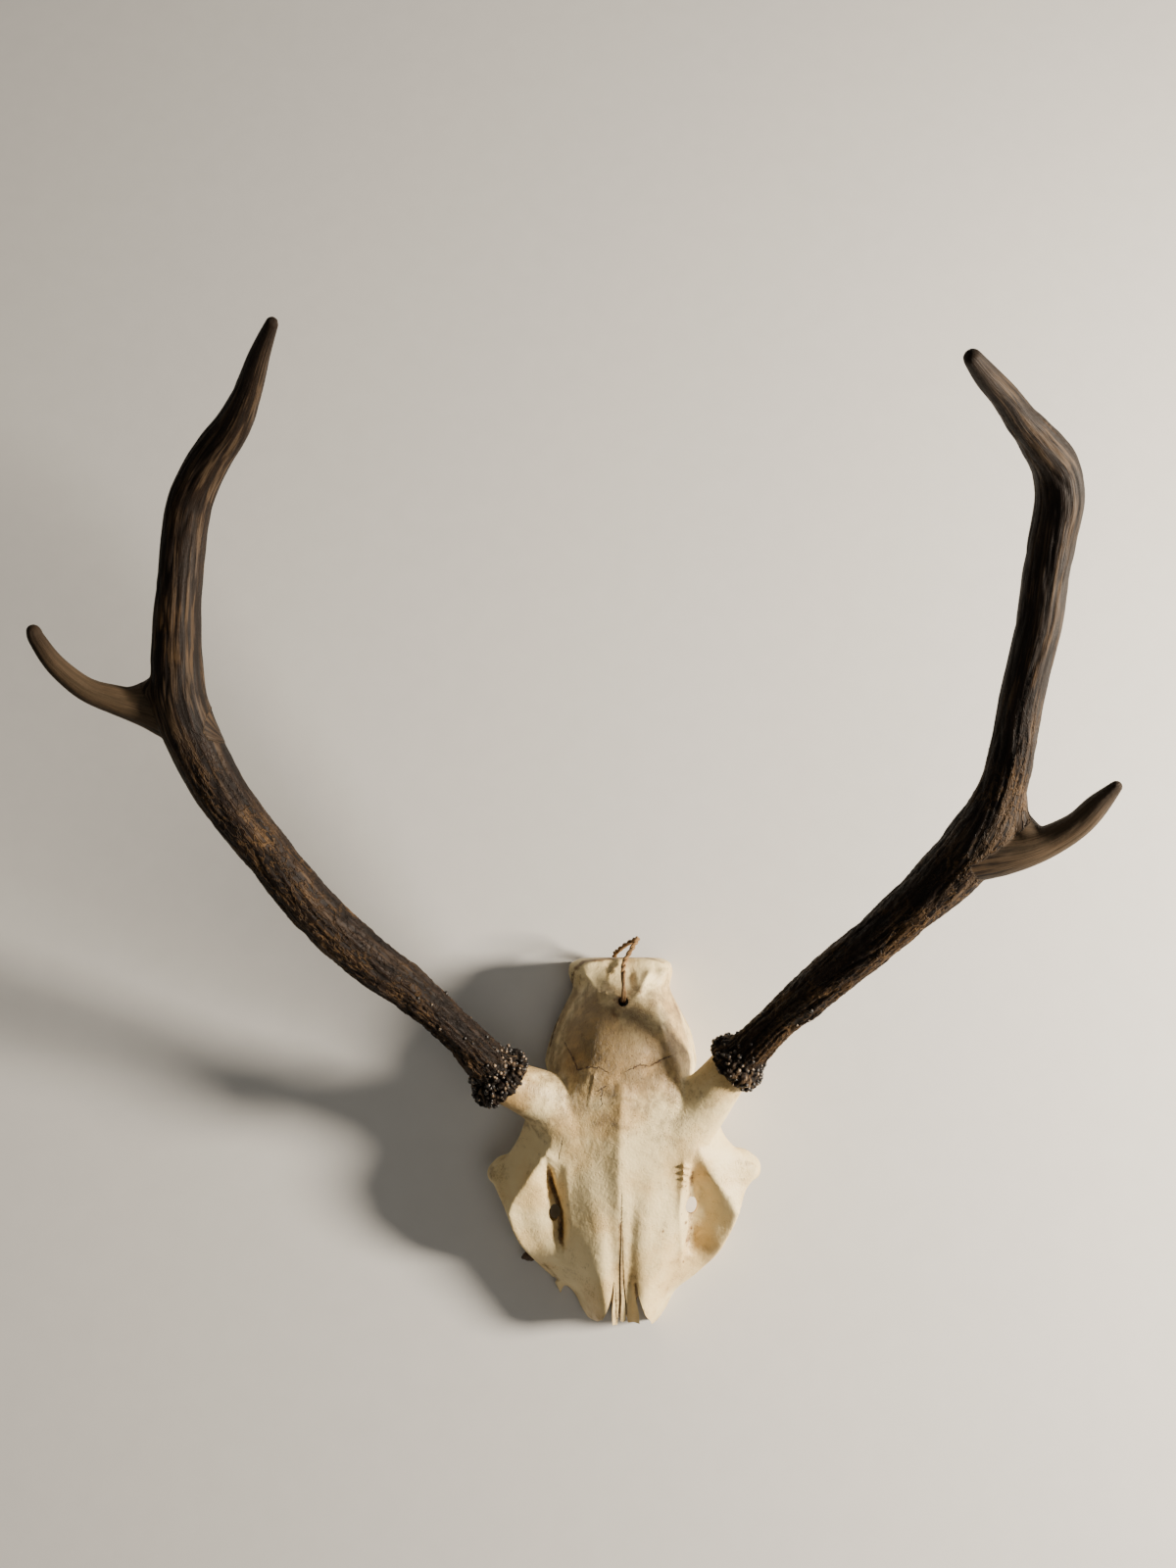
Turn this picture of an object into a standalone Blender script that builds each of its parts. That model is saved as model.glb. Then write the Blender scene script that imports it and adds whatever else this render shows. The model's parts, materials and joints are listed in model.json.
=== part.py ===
"""The sawn top of a deer's skull with its two forked antlers and a twine loop.

Run with: blender --background --python part.py

All sizes are in metres. The skull lies on its flat sawn back: the cut is z = 0, the broken nose is at y = 0
and points to -Y, the back of the head is at +Y, and the midline is x = 0. The last step moves everything so
that the origin is under the middle of the object.
"""

import math

import bmesh
import bpy
import numpy as np
from mathutils import Matrix, Vector

# Sections across the skull, from the nose to the back of the head:
# y, left edge, right edge, height of the edge, groove x, groove z, brow x, brow z, midline z
SKULL_SECTIONS = [
    (0.0010, 0.0190, 0.0190, 0.006, 0.0150, 0.018, 0.0090, 0.0260, 0.0235),
    (0.008, 0.0240, 0.0245, 0.006, 0.0170, 0.022, 0.0095, 0.0300, 0.0270),
    (0.018, 0.0300, 0.0305, 0.006, 0.0200, 0.025, 0.0110, 0.0335, 0.0310),
    (0.027, 0.0428, 0.0418, 0.0105, 0.0270, 0.0250, 0.0140, 0.0360, 0.0345),
    (0.038, 0.0530, 0.0520, 0.0195, 0.0335, 0.0285, 0.0180, 0.0392, 0.0395),
    (0.050, 0.0613, 0.0588, 0.0268, 0.0370, 0.0325, 0.0230, 0.0422, 0.0445),
    (0.064, 0.0667, 0.0652, 0.0330, 0.0400, 0.0365, 0.0260, 0.0448, 0.0485),
    (0.076, 0.0726, 0.0691, 0.0355, 0.0420, 0.0405, 0.0280, 0.0475, 0.0515),
    (0.086, 0.0766, 0.0766, 0.0355, 0.0430, 0.0445, 0.0290, 0.0505, 0.0545),
    (0.094, 0.0674, 0.0694, 0.0370, 0.0430, 0.0485, 0.0290, 0.0535, 0.0570),
    (0.106, 0.0595, 0.0575, 0.038, 0.0420, 0.053, 0.0270, 0.0580, 0.0605),
    (0.122, 0.0540, 0.0520, 0.038, 0.0390, 0.057, 0.0240, 0.0620, 0.0640),
    (0.137, 0.0440, 0.0420, 0.028, 0.0330, 0.054, 0.0210, 0.0640, 0.0660),
    (0.148, 0.0460, 0.0440, 0.020, 0.0360, 0.045, 0.0210, 0.0625, 0.0675),
    (0.165, 0.0415, 0.0410, 0.018, 0.0325, 0.041, 0.0190, 0.0590, 0.0635),
    (0.180, 0.0345, 0.0335, 0.020, 0.0270, 0.037, 0.0155, 0.0520, 0.0560),
    (0.190, 0.0295, 0.0285, 0.024, 0.0230, 0.036, 0.0125, 0.0455, 0.0475),
    (0.198, 0.0320, 0.0300, 0.027, 0.0250, 0.036, 0.0130, 0.0395, 0.0400),
    (0.204, 0.0310, 0.0290, 0.030, 0.0245, 0.034, 0.0130, 0.0365, 0.0360),
    (0.2075, 0.0250, 0.0240, 0.026, 0.0195, 0.029, 0.0120, 0.0315, 0.0310),
]
# Ridges and furrows over the top of the skull: points (x, y), half width, height; furrows are negative.
# The points are for the right side, and the last word says which sides have it.
RELIEF = [
    ([(0.0005, 0.137), (0.0, 0.100), (-0.0005, 0.060)], 0.0045, 0.0030, "middle"),
    ([(0.040, 0.093), (0.039, 0.078), (0.038, 0.064), (0.036, 0.050), (0.033, 0.034)], 0.0040, -0.0050, "both"),
    ([(0.0415, 0.092), (0.0400, 0.080), (0.0380, 0.070)], 0.0016, -0.0018, "both"),
    (
        [(0.0440, 0.0950), (0.0490, 0.0868), (0.0560, 0.0775), (0.0610, 0.0700), (0.0637, 0.0632), (0.0613, 0.0552), (0.0560, 0.0453)],
        0.0078,
        0.0056,
        "both",
    ),
    ([(0.0130, 0.062), (0.0110, 0.035), (0.0110, 0.008)], 0.0055, 0.0022, "both"),
    ([(0.0255, 0.198), (0.020, 0.190), (0.0130, 0.1850)], 0.0030, 0.0016, "both"),
    ([(-0.028, 0.201), (0.0, 0.2040), (0.026, 0.2015)], 0.0030, 0.0018, "middle"),
    ([(-0.025, 0.145), (0.017, 0.145)], 0.0050, -0.0012, "middle"),
]
SECTION_STEPS = 3  # rings for each stretch between two sections
ACROSS_STEPS = 4  # points for each stretch of a section
BELOW_CUT = 0.004  # how far the blank reaches under the sawn plane before it is cut flat

# Burrs, where an antler meets its pedicle: the middle of the joint and the way the antler leaves it
BURR = {
    "left": (Vector((-0.0663, 0.1362, 0.0640)), Vector((-0.64, 0.55, 0.54)).normalized()),
    "right": (Vector((0.0590, 0.1440, 0.0640)), Vector((0.62, 0.56, 0.55)).normalized()),
}
# Forks, where a tine is parted from its beam: a point in the cut and the way the tine leaves it
FORK = {
    "left": (Vector((-0.2345, 0.3108, 0.2080)), Vector((-0.93, 0.17, 0.32)).normalized()),
    "right": (Vector((0.1945, 0.2490, 0.1870)), Vector((0.85, 0.30, 0.43)).normalized()),
}
BURR_DRUM = (0.030, 0.030)  # radii of the cutters at the burr, near and far from the cut
FORK_DRUM = (0.018, 0.042)
PEDICLE_ROOT = (0.0310, 0.1140, 0.0380)
PEDICLE_WAIST = (0.0460, 0.1270, 0.0510)
PEDICLE_RADII = (0.0235, 0.0155, 0.0120)  # at the root, the waist and the burr
GAP = 0.0003  # left between pieces that touch

# Each beam from just above its burr to its tip: x, y, z, radius
BEAM_ROUTE = {
    "left": [
        (-0.0740, 0.1445, 0.071, 0.0122),
        (-0.0930, 0.1650, 0.088, 0.0099),
        (-0.1163, 0.1860, 0.108, 0.0115),
        (-0.1333, 0.1985, 0.122, 0.0122),
        (-0.1572, 0.2210, 0.144, 0.0121),
        (-0.1797, 0.2500, 0.168, 0.0116),
        (-0.1945, 0.2702, 0.183, 0.0123),
        (-0.2050, 0.2910, 0.196, 0.0128),
        (-0.2115, 0.3097, 0.207, 0.0130),
        (-0.2125, 0.3256, 0.213, 0.0119),
        (-0.2112, 0.3470, 0.222, 0.0108),
        (-0.2088, 0.3673, 0.229, 0.0102),
        (-0.2060, 0.3841, 0.236, 0.0101),
        (-0.2005, 0.3990, 0.245, 0.0097),
        (-0.1885, 0.4115, 0.258, 0.0088),
        (-0.1752, 0.4190, 0.272, 0.0075),
        (-0.1650, 0.4246, 0.288, 0.0059),
        (-0.1546, 0.4301, 0.308, 0.0042),
        (-0.1456, 0.4333, 0.324, 0.0026),
    ],
    "right": [
        (0.0665, 0.1515, 0.0710, 0.0115),
        (0.0808, 0.1672, 0.0880, 0.0096),
        (0.0930, 0.1790, 0.1040, 0.0110),
        (0.1066, 0.1920, 0.1210, 0.0115),
        (0.1237, 0.2066, 0.1380, 0.0118),
        (0.1420, 0.2236, 0.1550, 0.0125),
        (0.1570, 0.2390, 0.1690, 0.0142),
        (0.1690, 0.2550, 0.1810, 0.0142),
        (0.1763, 0.2730, 0.1900, 0.0113),
        (0.1798, 0.2904, 0.1990, 0.0105),
        (0.1815, 0.3085, 0.2080, 0.0101),
        (0.1836, 0.3236, 0.2160, 0.0100),
        (0.1868, 0.3430, 0.2255, 0.0103),
        (0.1881, 0.3638, 0.2360, 0.0103),
        (0.1897, 0.3804, 0.2450, 0.0105),
        (0.1900, 0.3935, 0.2540, 0.0106),
        (0.1848, 0.4038, 0.2640, 0.0098),
        (0.1707, 0.4090, 0.2800, 0.0077),
        (0.1611, 0.4115, 0.2900, 0.0065),
        (0.1505, 0.4145, 0.3020, 0.0055),
        (0.1400, 0.4163, 0.3130, 0.0049),
        (0.1305, 0.4180, 0.3240, 0.0036),
    ],
}
TINE_ROUTE = {
    "left": [
        (-0.2040, 0.3010, 0.199, 0.0125),
        (-0.2190, 0.3070, 0.203, 0.0108),
        (-0.2290, 0.3098, 0.206, 0.0088),
        (-0.2400, 0.3120, 0.211, 0.0071),
        (-0.2523, 0.3154, 0.218, 0.0056),
        (-0.2632, 0.3240, 0.226, 0.0047),
        (-0.2700, 0.3340, 0.232, 0.0038),
        (-0.2712, 0.3375, 0.234, 0.0033),
    ],
    "right": [
        (0.1640, 0.2440, 0.176, 0.0125),
        (0.1767, 0.2450, 0.180, 0.0112),
        (0.1870, 0.2462, 0.184, 0.0092),
        (0.1975, 0.2495, 0.188, 0.0076),
        (0.2085, 0.2555, 0.194, 0.0064),
        (0.2165, 0.2635, 0.199, 0.0056),
        (0.2245, 0.2720, 0.205, 0.0030),
    ],
}
# A rounded web that fills the crotch of each fork
WEB_ROUTE = {
    "left": [
        (-0.2115, 0.3325, 0.2160, 0.0085),
        (-0.2180, 0.3195, 0.2120, 0.0075),
        (-0.2315, 0.3125, 0.2090, 0.0072),
        (-0.2460, 0.3125, 0.2140, 0.0052),
    ],
    "right": [
        (0.1790, 0.2725, 0.1910, 0.0085),
        (0.1830, 0.2600, 0.1860, 0.0078),
        (0.1930, 0.2500, 0.1860, 0.0072),
        (0.2045, 0.2525, 0.1920, 0.0058),
    ],
}
ANTLER_SIDES = 20
ANTLER_STEPS = 4  # rings between two route points
RIDGES = 6  # long ribs round a beam
RIDGE_SHARE = 0.045  # of the radius, near the burr
CORONET_RADIUS = {"left": (0.0180, 0.0165), "right": (0.0162, 0.0152)}
COLLAR_RINGS = [(0.0, 0.80), (0.002, 0.90), (0.007, 0.86), (0.012, 0.66)]  # lift, share of the radius
CORONET_LUMPS = 17
LUMP_RADIUS = 0.0037
LUMP_ROWS = [(0.0045, 0.92, 1.0), (0.0100, 0.77, 0.80)]  # lift, share of the coronet's radius, size
BEAM_PEARLS = 34  # small lumps on the lower beam
PEARL_RADII = (0.0013, 0.0021)
PEARL_RINGS = (3, 26)  # first and last ring of a beam with pearls

# Rounded corners of the eye sockets: centre, half sizes
SOCKET_CORNERS = [
    ((-0.0736, 0.0848, 0.0285), (0.0050, 0.0060, 0.0052)),
    ((-0.0664, 0.0862, 0.0290), (0.0105, 0.0090, 0.0064)),
    ((0.0732, 0.0878, 0.0290), (0.0058, 0.0072, 0.0056)),
    ((0.0654, 0.0890, 0.0295), (0.0115, 0.0100, 0.0066)),
]
# A splinter and a dried scrap on the left edge
SPIKE = [(-0.0375, 0.0310, 0.0090), (-0.0370, 0.0240, 0.0075), (-0.0364, 0.0165, 0.0050)]
SPIKE_RADII = [0.0045, 0.0035, 0.0009]
SCRAP = ((-0.0545, 0.0370, 0.0100), (0.0045, 0.0028, 0.0022))

# Where the skull is open
DRILLED_HOLE = (-0.0004, 0.1805, 0.0030)  # x, y, radius
HOLE_FROM, FORAMINA_FROM, OVER_ALL = 0.030, 0.010, 0.090  # heights between which openings are cut
FORAMINA = [(-0.0395, 0.0640, 0.0031, 0.0046), (0.0381, 0.0677, 0.0037, 0.0049)]  # x, y, half sizes
# Hollows cut from below: centre, half sizes
HOLLOWS = {
    "braincase": ((0.0, 0.1555, -0.0006), (0.0345, 0.0440, 0.0540)),
    "foramen_magnum": ((0.0, 0.2050, -0.0006), (0.0105, 0.0200, 0.0155)),
    "orbit_left": ((-0.0655, 0.0790, -0.0020), (0.0330, 0.0330, 0.0340)),
    "orbit_right": ((0.0655, 0.0790, -0.0020), (0.0330, 0.0330, 0.0340)),
    "sinus_left": ((-0.0390, 0.0640, 0.0040), (0.0120, 0.0160, 0.0215)),
    "sinus_right": ((0.0380, 0.0670, 0.0040), (0.0120, 0.0160, 0.0225)),
    "nasal_left": ((-0.0097, 0.0300, -0.0006), (0.0062, 0.0480, 0.0270)),
    "nasal_right": ((0.0097, 0.0300, -0.0006), (0.0062, 0.0480, 0.0270)),
}
# Cracks and broken notches from above at the nose: start and end (x, y), width there, floor height
NOSE_SLITS = [
    ((-0.0006, 0.0580), (-0.0008, -0.0060), 0.0014, 0.0036, 0.0150),
    ((-0.0058, 0.0120), (-0.0100, -0.0060), 0.0012, 0.0036, 0.0080),
    ((0.0085, 0.0120), (0.0135, -0.0060), 0.0014, 0.0040, 0.0080),
]
TWINE_RADIUS = 0.0016
TWINE_ROUTE = [
    (-0.0030, 0.1740, 0.0213),
    (-0.0026, 0.1760, 0.0270),
    (-0.0015, 0.1788, 0.0345),
    (-0.0007, 0.1802, 0.0415),
    (-0.0004, 0.1805, 0.0480),
    (-0.0003, 0.1815, 0.0545),
    (0.0000, 0.1855, 0.0552),
    (0.0000, 0.1905, 0.0502),
    (0.0000, 0.1965, 0.0446),
    (0.0008, 0.2035, 0.0402),
    (0.0036, 0.2090, 0.0392),
    (0.0068, 0.2142, 0.0382),
    (0.0090, 0.2180, 0.0340),
    (0.0070, 0.2178, 0.0285),
    (0.0022, 0.2154, 0.0240),
    (-0.0022, 0.2124, 0.0190),
    (-0.0040, 0.2110, 0.0130),
    (-0.0042, 0.2072, 0.0085),
    (-0.0030, 0.2010, 0.0070),
    (-0.0028, 0.1950, 0.0082),
    (-0.0029, 0.1895, 0.0115),
    (-0.0030, 0.1840, 0.0145),
    (-0.0030, 0.1788, 0.0160),
]
TWINE_KNOT = ((-0.0030, 0.1745, 0.0165), (0.0042, 0.0036, 0.0040))  # where both ends meet: centre, half sizes
TWINE_STEPS = 2  # points for each stretch

SKULL_TRIANGLES = 3900
BEAM_TRIANGLES = 2200
TINE_TRIANGLES = 360
SKULL_VOXEL = 0.0014
ANTLER_VOXEL = 0.0010
MERGE = 0.00001  # points this close become one
ON_THE_CUT = 0.00015  # a corner this close to the sawn plane is put on it
HOLD_DEPTH, HOLD_REACH = 0.002, 0.030  # how far over a cut plane, and from its middle, corners are put back
DRUM_LENGTH = {"burr": 0.030, "fork": 0.100}
SAW_BLOCK = 0.4
SEED = 7


def clear_scene():
    for obj in list(bpy.data.objects):
        bpy.data.objects.remove(obj, do_unlink=True)


def new_collection(name):
    collection = bpy.data.collections.new(name)
    bpy.context.scene.collection.children.link(collection)
    return collection


def material(name, color, roughness):
    made = bpy.data.materials.new(name)
    made.use_nodes = True
    shader = made.node_tree.nodes["Principled BSDF"]
    shader.inputs["Base Color"].default_value = (*color, 1.0)
    shader.inputs["Roughness"].default_value = roughness
    shader.inputs["Metallic"].default_value = 0.0
    return made


def object_from(bm, name, collection):
    mesh = bpy.data.meshes.new(name)
    bm.to_mesh(mesh)
    bm.free()
    obj = bpy.data.objects.new(name, mesh)
    collection.objects.link(obj)
    return obj


def as_cutter(obj):
    obj.hide_render = True
    obj.display_type = "WIRE"
    return obj


def catmull_rom(points, steps):
    """A smooth route through points of any number of columns, with steps points for each stretch."""
    p = np.array(points, float)
    ends = np.vstack([2 * p[0] - p[1], p, 2 * p[-1] - p[-2]])
    out = []
    for i in range(len(p) - 1):
        a, b, c, d = ends[i : i + 4]
        for t in np.arange(steps) / steps:
            out.append(
                0.5 * (2 * b + (c - a) * t + (2 * a - 5 * b + 4 * c - d) * t**2 + (3 * b - a - 3 * c + d) * t**3)
            )
    out.append(p[-1])
    return np.array(out)


def loft(rings, name, collection):
    """One closed body through rings of points, each with the same number of points."""
    bm = bmesh.new()
    loops = [[bm.verts.new(p) for p in ring] for ring in rings]
    count = len(loops[0])
    for near, far in zip(loops, loops[1:]):
        for i in range(count):
            j = (i + 1) % count
            bm.faces.new((near[i], near[j], far[j], far[i]))
    bm.faces.new(loops[0])
    bm.faces.new(loops[-1][::-1])
    bmesh.ops.recalc_face_normals(bm, faces=bm.faces)
    return object_from(bm, name, collection)


def ellipsoid(center, half_sizes, name, collection, subdivisions=4):
    bm = bmesh.new()
    bmesh.ops.create_icosphere(bm, subdivisions=subdivisions, radius=1.0)
    bmesh.ops.transform(bm, matrix=Matrix.Diagonal((*half_sizes, 1.0)), verts=bm.verts)
    bmesh.ops.translate(bm, vec=Vector(center), verts=bm.verts)
    return object_from(bm, name, collection)


def prism(outline, bottom, top, name, collection):
    """A flat outline of (x, y) points raised from bottom to top."""
    rings = [[(x, y, z) for x, y in outline] for z in (bottom, top)]
    return loft(rings, name, collection)


def tube(points, radii, name, collection, poly=False):
    """A curve with a round bevel and filled caps, as a mesh; radii is one number or one for each point."""
    radii = [radii] * len(points) if isinstance(radii, float) else radii
    curve = bpy.data.curves.new(name, "CURVE")
    curve.dimensions = "3D"
    curve.bevel_depth = 1.0
    curve.bevel_resolution = 2 if poly else 4
    curve.use_fill_caps = True
    spline = curve.splines.new("POLY")
    spline.points.add(len(points) - 1)
    for spot, place, radius in zip(spline.points, points, radii):
        spot.co = (*place, 1.0)
        spot.radius = radius
    source = bpy.data.objects.new(name + "_curve", curve)
    collection.objects.link(source)
    obj = bpy.data.objects.new(name, evaluated_mesh(source))
    bpy.data.objects.remove(source)
    collection.objects.link(obj)
    merge_close(obj)
    return obj


def evaluated_mesh(obj):
    bpy.context.view_layer.update()
    depsgraph = bpy.context.evaluated_depsgraph_get()
    return bpy.data.meshes.new_from_object(obj.evaluated_get(depsgraph))


def bake(obj):
    """Turns an object's modifiers into its mesh."""
    obj.data = evaluated_mesh(obj)
    obj.modifiers.clear()


def join(objects, name):
    """Puts overlapping bodies into one object, for the Remesh that fuses them."""
    bm = bmesh.new()
    for obj in objects:
        bm.from_mesh(obj.data)
    collection = objects[0].users_collection[0]
    for obj in objects:
        bpy.data.objects.remove(obj)
    return object_from(bm, name, collection)


def fuse(obj, voxel, smoothing):
    remesh = obj.modifiers.new("Fuse", "REMESH")
    remesh.mode = "VOXEL"
    remesh.voxel_size = voxel
    smooth = obj.modifiers.new("Soften", "SMOOTH")
    smooth.factor = 0.5
    smooth.iterations = smoothing
    bake(obj)


def cut(obj, cutters, keep_inside=False):
    for cutter in cutters:
        boolean = obj.modifiers.new("Cut", "BOOLEAN")
        boolean.operation = "INTERSECT" if keep_inside else "DIFFERENCE"
        boolean.solver = "EXACT"
        boolean.object = as_cutter(cutter)
    bake(obj)
    merge_close(obj)


def thin_out(obj, triangles):
    obj.data.calc_loop_triangles()
    decimate = obj.modifiers.new("Fewer triangles", "DECIMATE")
    decimate.ratio = triangles / len(obj.data.loop_triangles)
    bake(obj)
    drop_flaps(obj)


def merge_close(obj):
    """Merges points that nearly coincide and drops faces without an area."""
    bm = bmesh.new()
    bm.from_mesh(obj.data)
    bmesh.ops.remove_doubles(bm, verts=bm.verts, dist=MERGE)
    bmesh.ops.dissolve_degenerate(bm, edges=bm.edges, dist=1e-6)
    bm.to_mesh(obj.data)
    bm.free()


def flatten_base(obj):
    """Puts the corners of the sawn face exactly on z = 0."""
    for vert in obj.data.vertices:
        if abs(vert.co.z) < ON_THE_CUT:
            vert.co.z = 0.0


def drop_flaps(obj):
    """Deletes the loose triangles, open on a side, that thinning out sometimes leaves on a closed skin."""
    bm = bmesh.new()
    bm.from_mesh(obj.data)
    while flaps := [face for face in bm.faces if any(len(e.link_faces) == 1 for e in face.edges)]:
        bmesh.ops.delete(bm, geom=flaps, context="FACES")
    bm.to_mesh(obj.data)
    bm.free()


def hold_behind(obj, cut_place, side):
    """Puts back on its cut plane what thinning out has pushed over it; side is 1 or -1 along the way."""
    middle, way = cut_place
    for vert in obj.data.vertices:
        past = GAP / 2 - side * (vert.co - middle).dot(way)
        if 0 < past < HOLD_DEPTH and (vert.co - middle).length < HOLD_REACH:
            vert.co += way * side * past


def finish(obj, look):
    for face in obj.data.polygons:
        face.use_smooth = True
    obj.data.materials.clear()
    obj.data.materials.append(look)


def skull_ring(section):
    """The outline of one section across the skull, closed under the sawn plane."""
    y, left, right, edge_z, groove_x, groove_z, brow_x, brow_z, middle_z = section
    top = catmull_rom(
        [
            (-left, edge_z),
            (-groove_x, groove_z),
            (-brow_x, brow_z),
            (0.0, middle_z),
            (brow_x, brow_z),
            (groove_x, groove_z),
            (right, edge_z),
        ],
        ACROSS_STEPS,
    )
    sides_z = [edge_z * 0.5, -BELOW_CUT]
    down = [(right, z) for z in sides_z]
    back = [(x, -BELOW_CUT) for x in np.linspace(right, -left, 8)[1:-1]]
    up = [(-left, z) for z in reversed(sides_z)]
    return [(x, y, z) for x, z in [*top, *down, *back, *up]]


def skull_blank(collection):
    """The skull before its openings are cut: body, pedicles, eye-socket corners and small growths."""
    sections = catmull_rom(SKULL_SECTIONS, SECTION_STEPS)
    pieces = [loft([skull_ring(s) for s in sections], "body", collection)]
    for side, sign in (("left", -1), ("right", 1)):
        middle, way = BURR[side]
        route = [
            (sign * PEDICLE_ROOT[0], *PEDICLE_ROOT[1:]),
            (sign * PEDICLE_WAIST[0], *PEDICLE_WAIST[1:]),
            tuple(middle),
            tuple(middle + way * 0.006),
        ]
        radii = [*PEDICLE_RADII, PEDICLE_RADII[-1]]
        smooth = catmull_rom([(*p, r) for p, r in zip(route, radii)], 5)
        pieces.append(tube(smooth[:, :3], list(smooth[:, 3]), "pedicle", collection))
    pieces += [ellipsoid(*corner, "corner", collection) for corner in SOCKET_CORNERS]
    pieces.append(tube(SPIKE, SPIKE_RADII, "spike", collection))
    pieces.append(ellipsoid(*SCRAP, "scrap", collection))
    return join(pieces, "skull")


def relief_at(x, y):
    """The height that the ridges and furrows add at x, y, which are arrays."""
    total = np.zeros(len(x))
    for points, width, height, sides in RELIEF:
        for sign in (1, -1) if sides == "both" else (1,):
            path = np.array(points) * (sign, 1)
            nearest = np.full(len(x), np.inf)
            for (ax, ay), (bx, by) in zip(path, path[1:]):
                length2 = (bx - ax) ** 2 + (by - ay) ** 2
                share = np.clip(((x - ax) * (bx - ax) + (y - ay) * (by - ay)) / length2, 0, 1)
                away = np.hypot(x - ax - share * (bx - ax), y - ay - share * (by - ay))
                nearest = np.minimum(nearest, away)
            total += height * np.exp(-((nearest / width) ** 2))
    return total


def raise_relief(obj):
    """Lifts and lowers the upper side of the skull."""
    count = len(obj.data.vertices)
    places, normals = np.empty(count * 3), np.empty(count * 3)
    obj.data.vertices.foreach_get("co", places)
    obj.data.vertices.foreach_get("normal", normals)
    places, up = places.reshape(-1, 3), normals.reshape(-1, 3)[:, 2]
    places[:, 2] += relief_at(places[:, 0], places[:, 1]) * np.clip(up * 2, 0, 1)
    obj.data.vertices.foreach_set("co", places.ravel())
    obj.data.update()


def slit_cutter(slit, collection):
    (x0, y0), (x1, y1), width0, width1, floor_z = slit
    outline = [
        (x0 - width0 / 2, y0),
        (x0 + width0 / 2, y0),
        (x1 + width1 / 2, y1),
        (x1 - width1 / 2, y1),
    ]
    return prism(outline, floor_z, OVER_ALL, "slit", collection)


def oval_cutter(x, y, half_x, half_y, bottom, collection):
    angles = np.linspace(0, math.tau, 20, endpoint=False)
    outline = [(x + half_x * math.cos(a), y + half_y * math.sin(a)) for a in angles]
    return prism(outline, bottom, OVER_ALL, "opening", collection)


def drum(cut_place, shift, length, radii, collection):
    """A cone's slice from a cut plane, shift along its way, to length further on; negative is backwards."""
    middle, way = cut_place
    near, far = radii if length > 0 else radii[::-1]
    bm = bmesh.new()
    bmesh.ops.create_cone(bm, cap_ends=True, segments=32, radius1=near, radius2=far, depth=abs(length))
    bmesh.ops.transform(bm, matrix=way.to_track_quat("Z", "Y").to_matrix().to_4x4(), verts=bm.verts)
    bmesh.ops.translate(bm, vec=middle + way * (shift + length / 2), verts=bm.verts)
    return object_from(bm, "drum", collection)


def make_skull(parts, cutters):
    skull = skull_blank(parts)
    fuse(skull, SKULL_VOXEL, 8)
    raise_relief(skull)
    tools = [ellipsoid(center, sizes, name, cutters) for name, (center, sizes) in HOLLOWS.items()]
    tools += [slit_cutter(slit, cutters) for slit in NOSE_SLITS]
    x, y, radius = DRILLED_HOLE
    tools.append(oval_cutter(x, y, radius, radius, HOLE_FROM, cutters))
    tools += [oval_cutter(*foramen, FORAMINA_FROM, cutters) for foramen in FORAMINA]
    tools += [drum(burr, -GAP / 2, DRUM_LENGTH["burr"], BURR_DRUM, cutters) for burr in BURR.values()]
    bm = bmesh.new()
    bmesh.ops.create_cube(bm, size=SAW_BLOCK)
    bmesh.ops.translate(bm, vec=(0, SAW_BLOCK / 4, -SAW_BLOCK / 2), verts=bm.verts)
    tools.append(object_from(bm, "saw_cut", cutters))
    cut(skull, tools)
    thin_out(skull, SKULL_TRIANGLES)
    flatten_base(skull)
    for burr in BURR.values():
        hold_behind(skull, burr, -1)
    finish(skull, material("bone", (0.78, 0.70, 0.53), 0.55))
    return skull


def ring_frames(route):
    """A middle, two cross directions and a radius for each ring, without a twist between rings."""
    points = route[:, :3]
    ways = np.gradient(points, axis=0)
    ways /= np.linalg.norm(ways, axis=1)[:, None]
    across = np.cross(ways[0], (0.0, 0.0, 1.0))
    frames = []
    for point, way, radius in zip(points, ways, route[:, 3]):
        across = across - way * np.dot(across, way)
        across /= np.linalg.norm(across)
        frames.append((point, across, np.cross(way, across), radius))
    return frames


def antler_rod(route_points, name, collection, ribbed):
    """A beam or tine: round rings with long ribs that fade toward a rounded tip."""
    route = catmull_rom(route_points, ANTLER_STEPS)
    frames = ring_frames(route)
    rings = []
    for i, (point, u, v, radius) in enumerate(frames):
        fade = RIDGE_SHARE * (1 - i / len(frames)) if ribbed else 0.0
        ring = []
        for a in np.linspace(0, math.tau, ANTLER_SIDES, endpoint=False):
            r = radius * (1 + fade * math.cos(RIDGES * a + 0.05 * i))
            ring.append(point + r * (math.cos(a) * u + math.sin(a) * v))
        rings.append(ring)
    point, u, v, radius = frames[-1]
    way = np.cross(u, v)
    for share in (0.5, 0.85):
        scale = math.sqrt(1 - share**2)
        middle = point + way * radius * share
        rings.append([middle + scale * (p - point) for p in rings[len(frames) - 1]])
    return loft(rings, name, collection)


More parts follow.
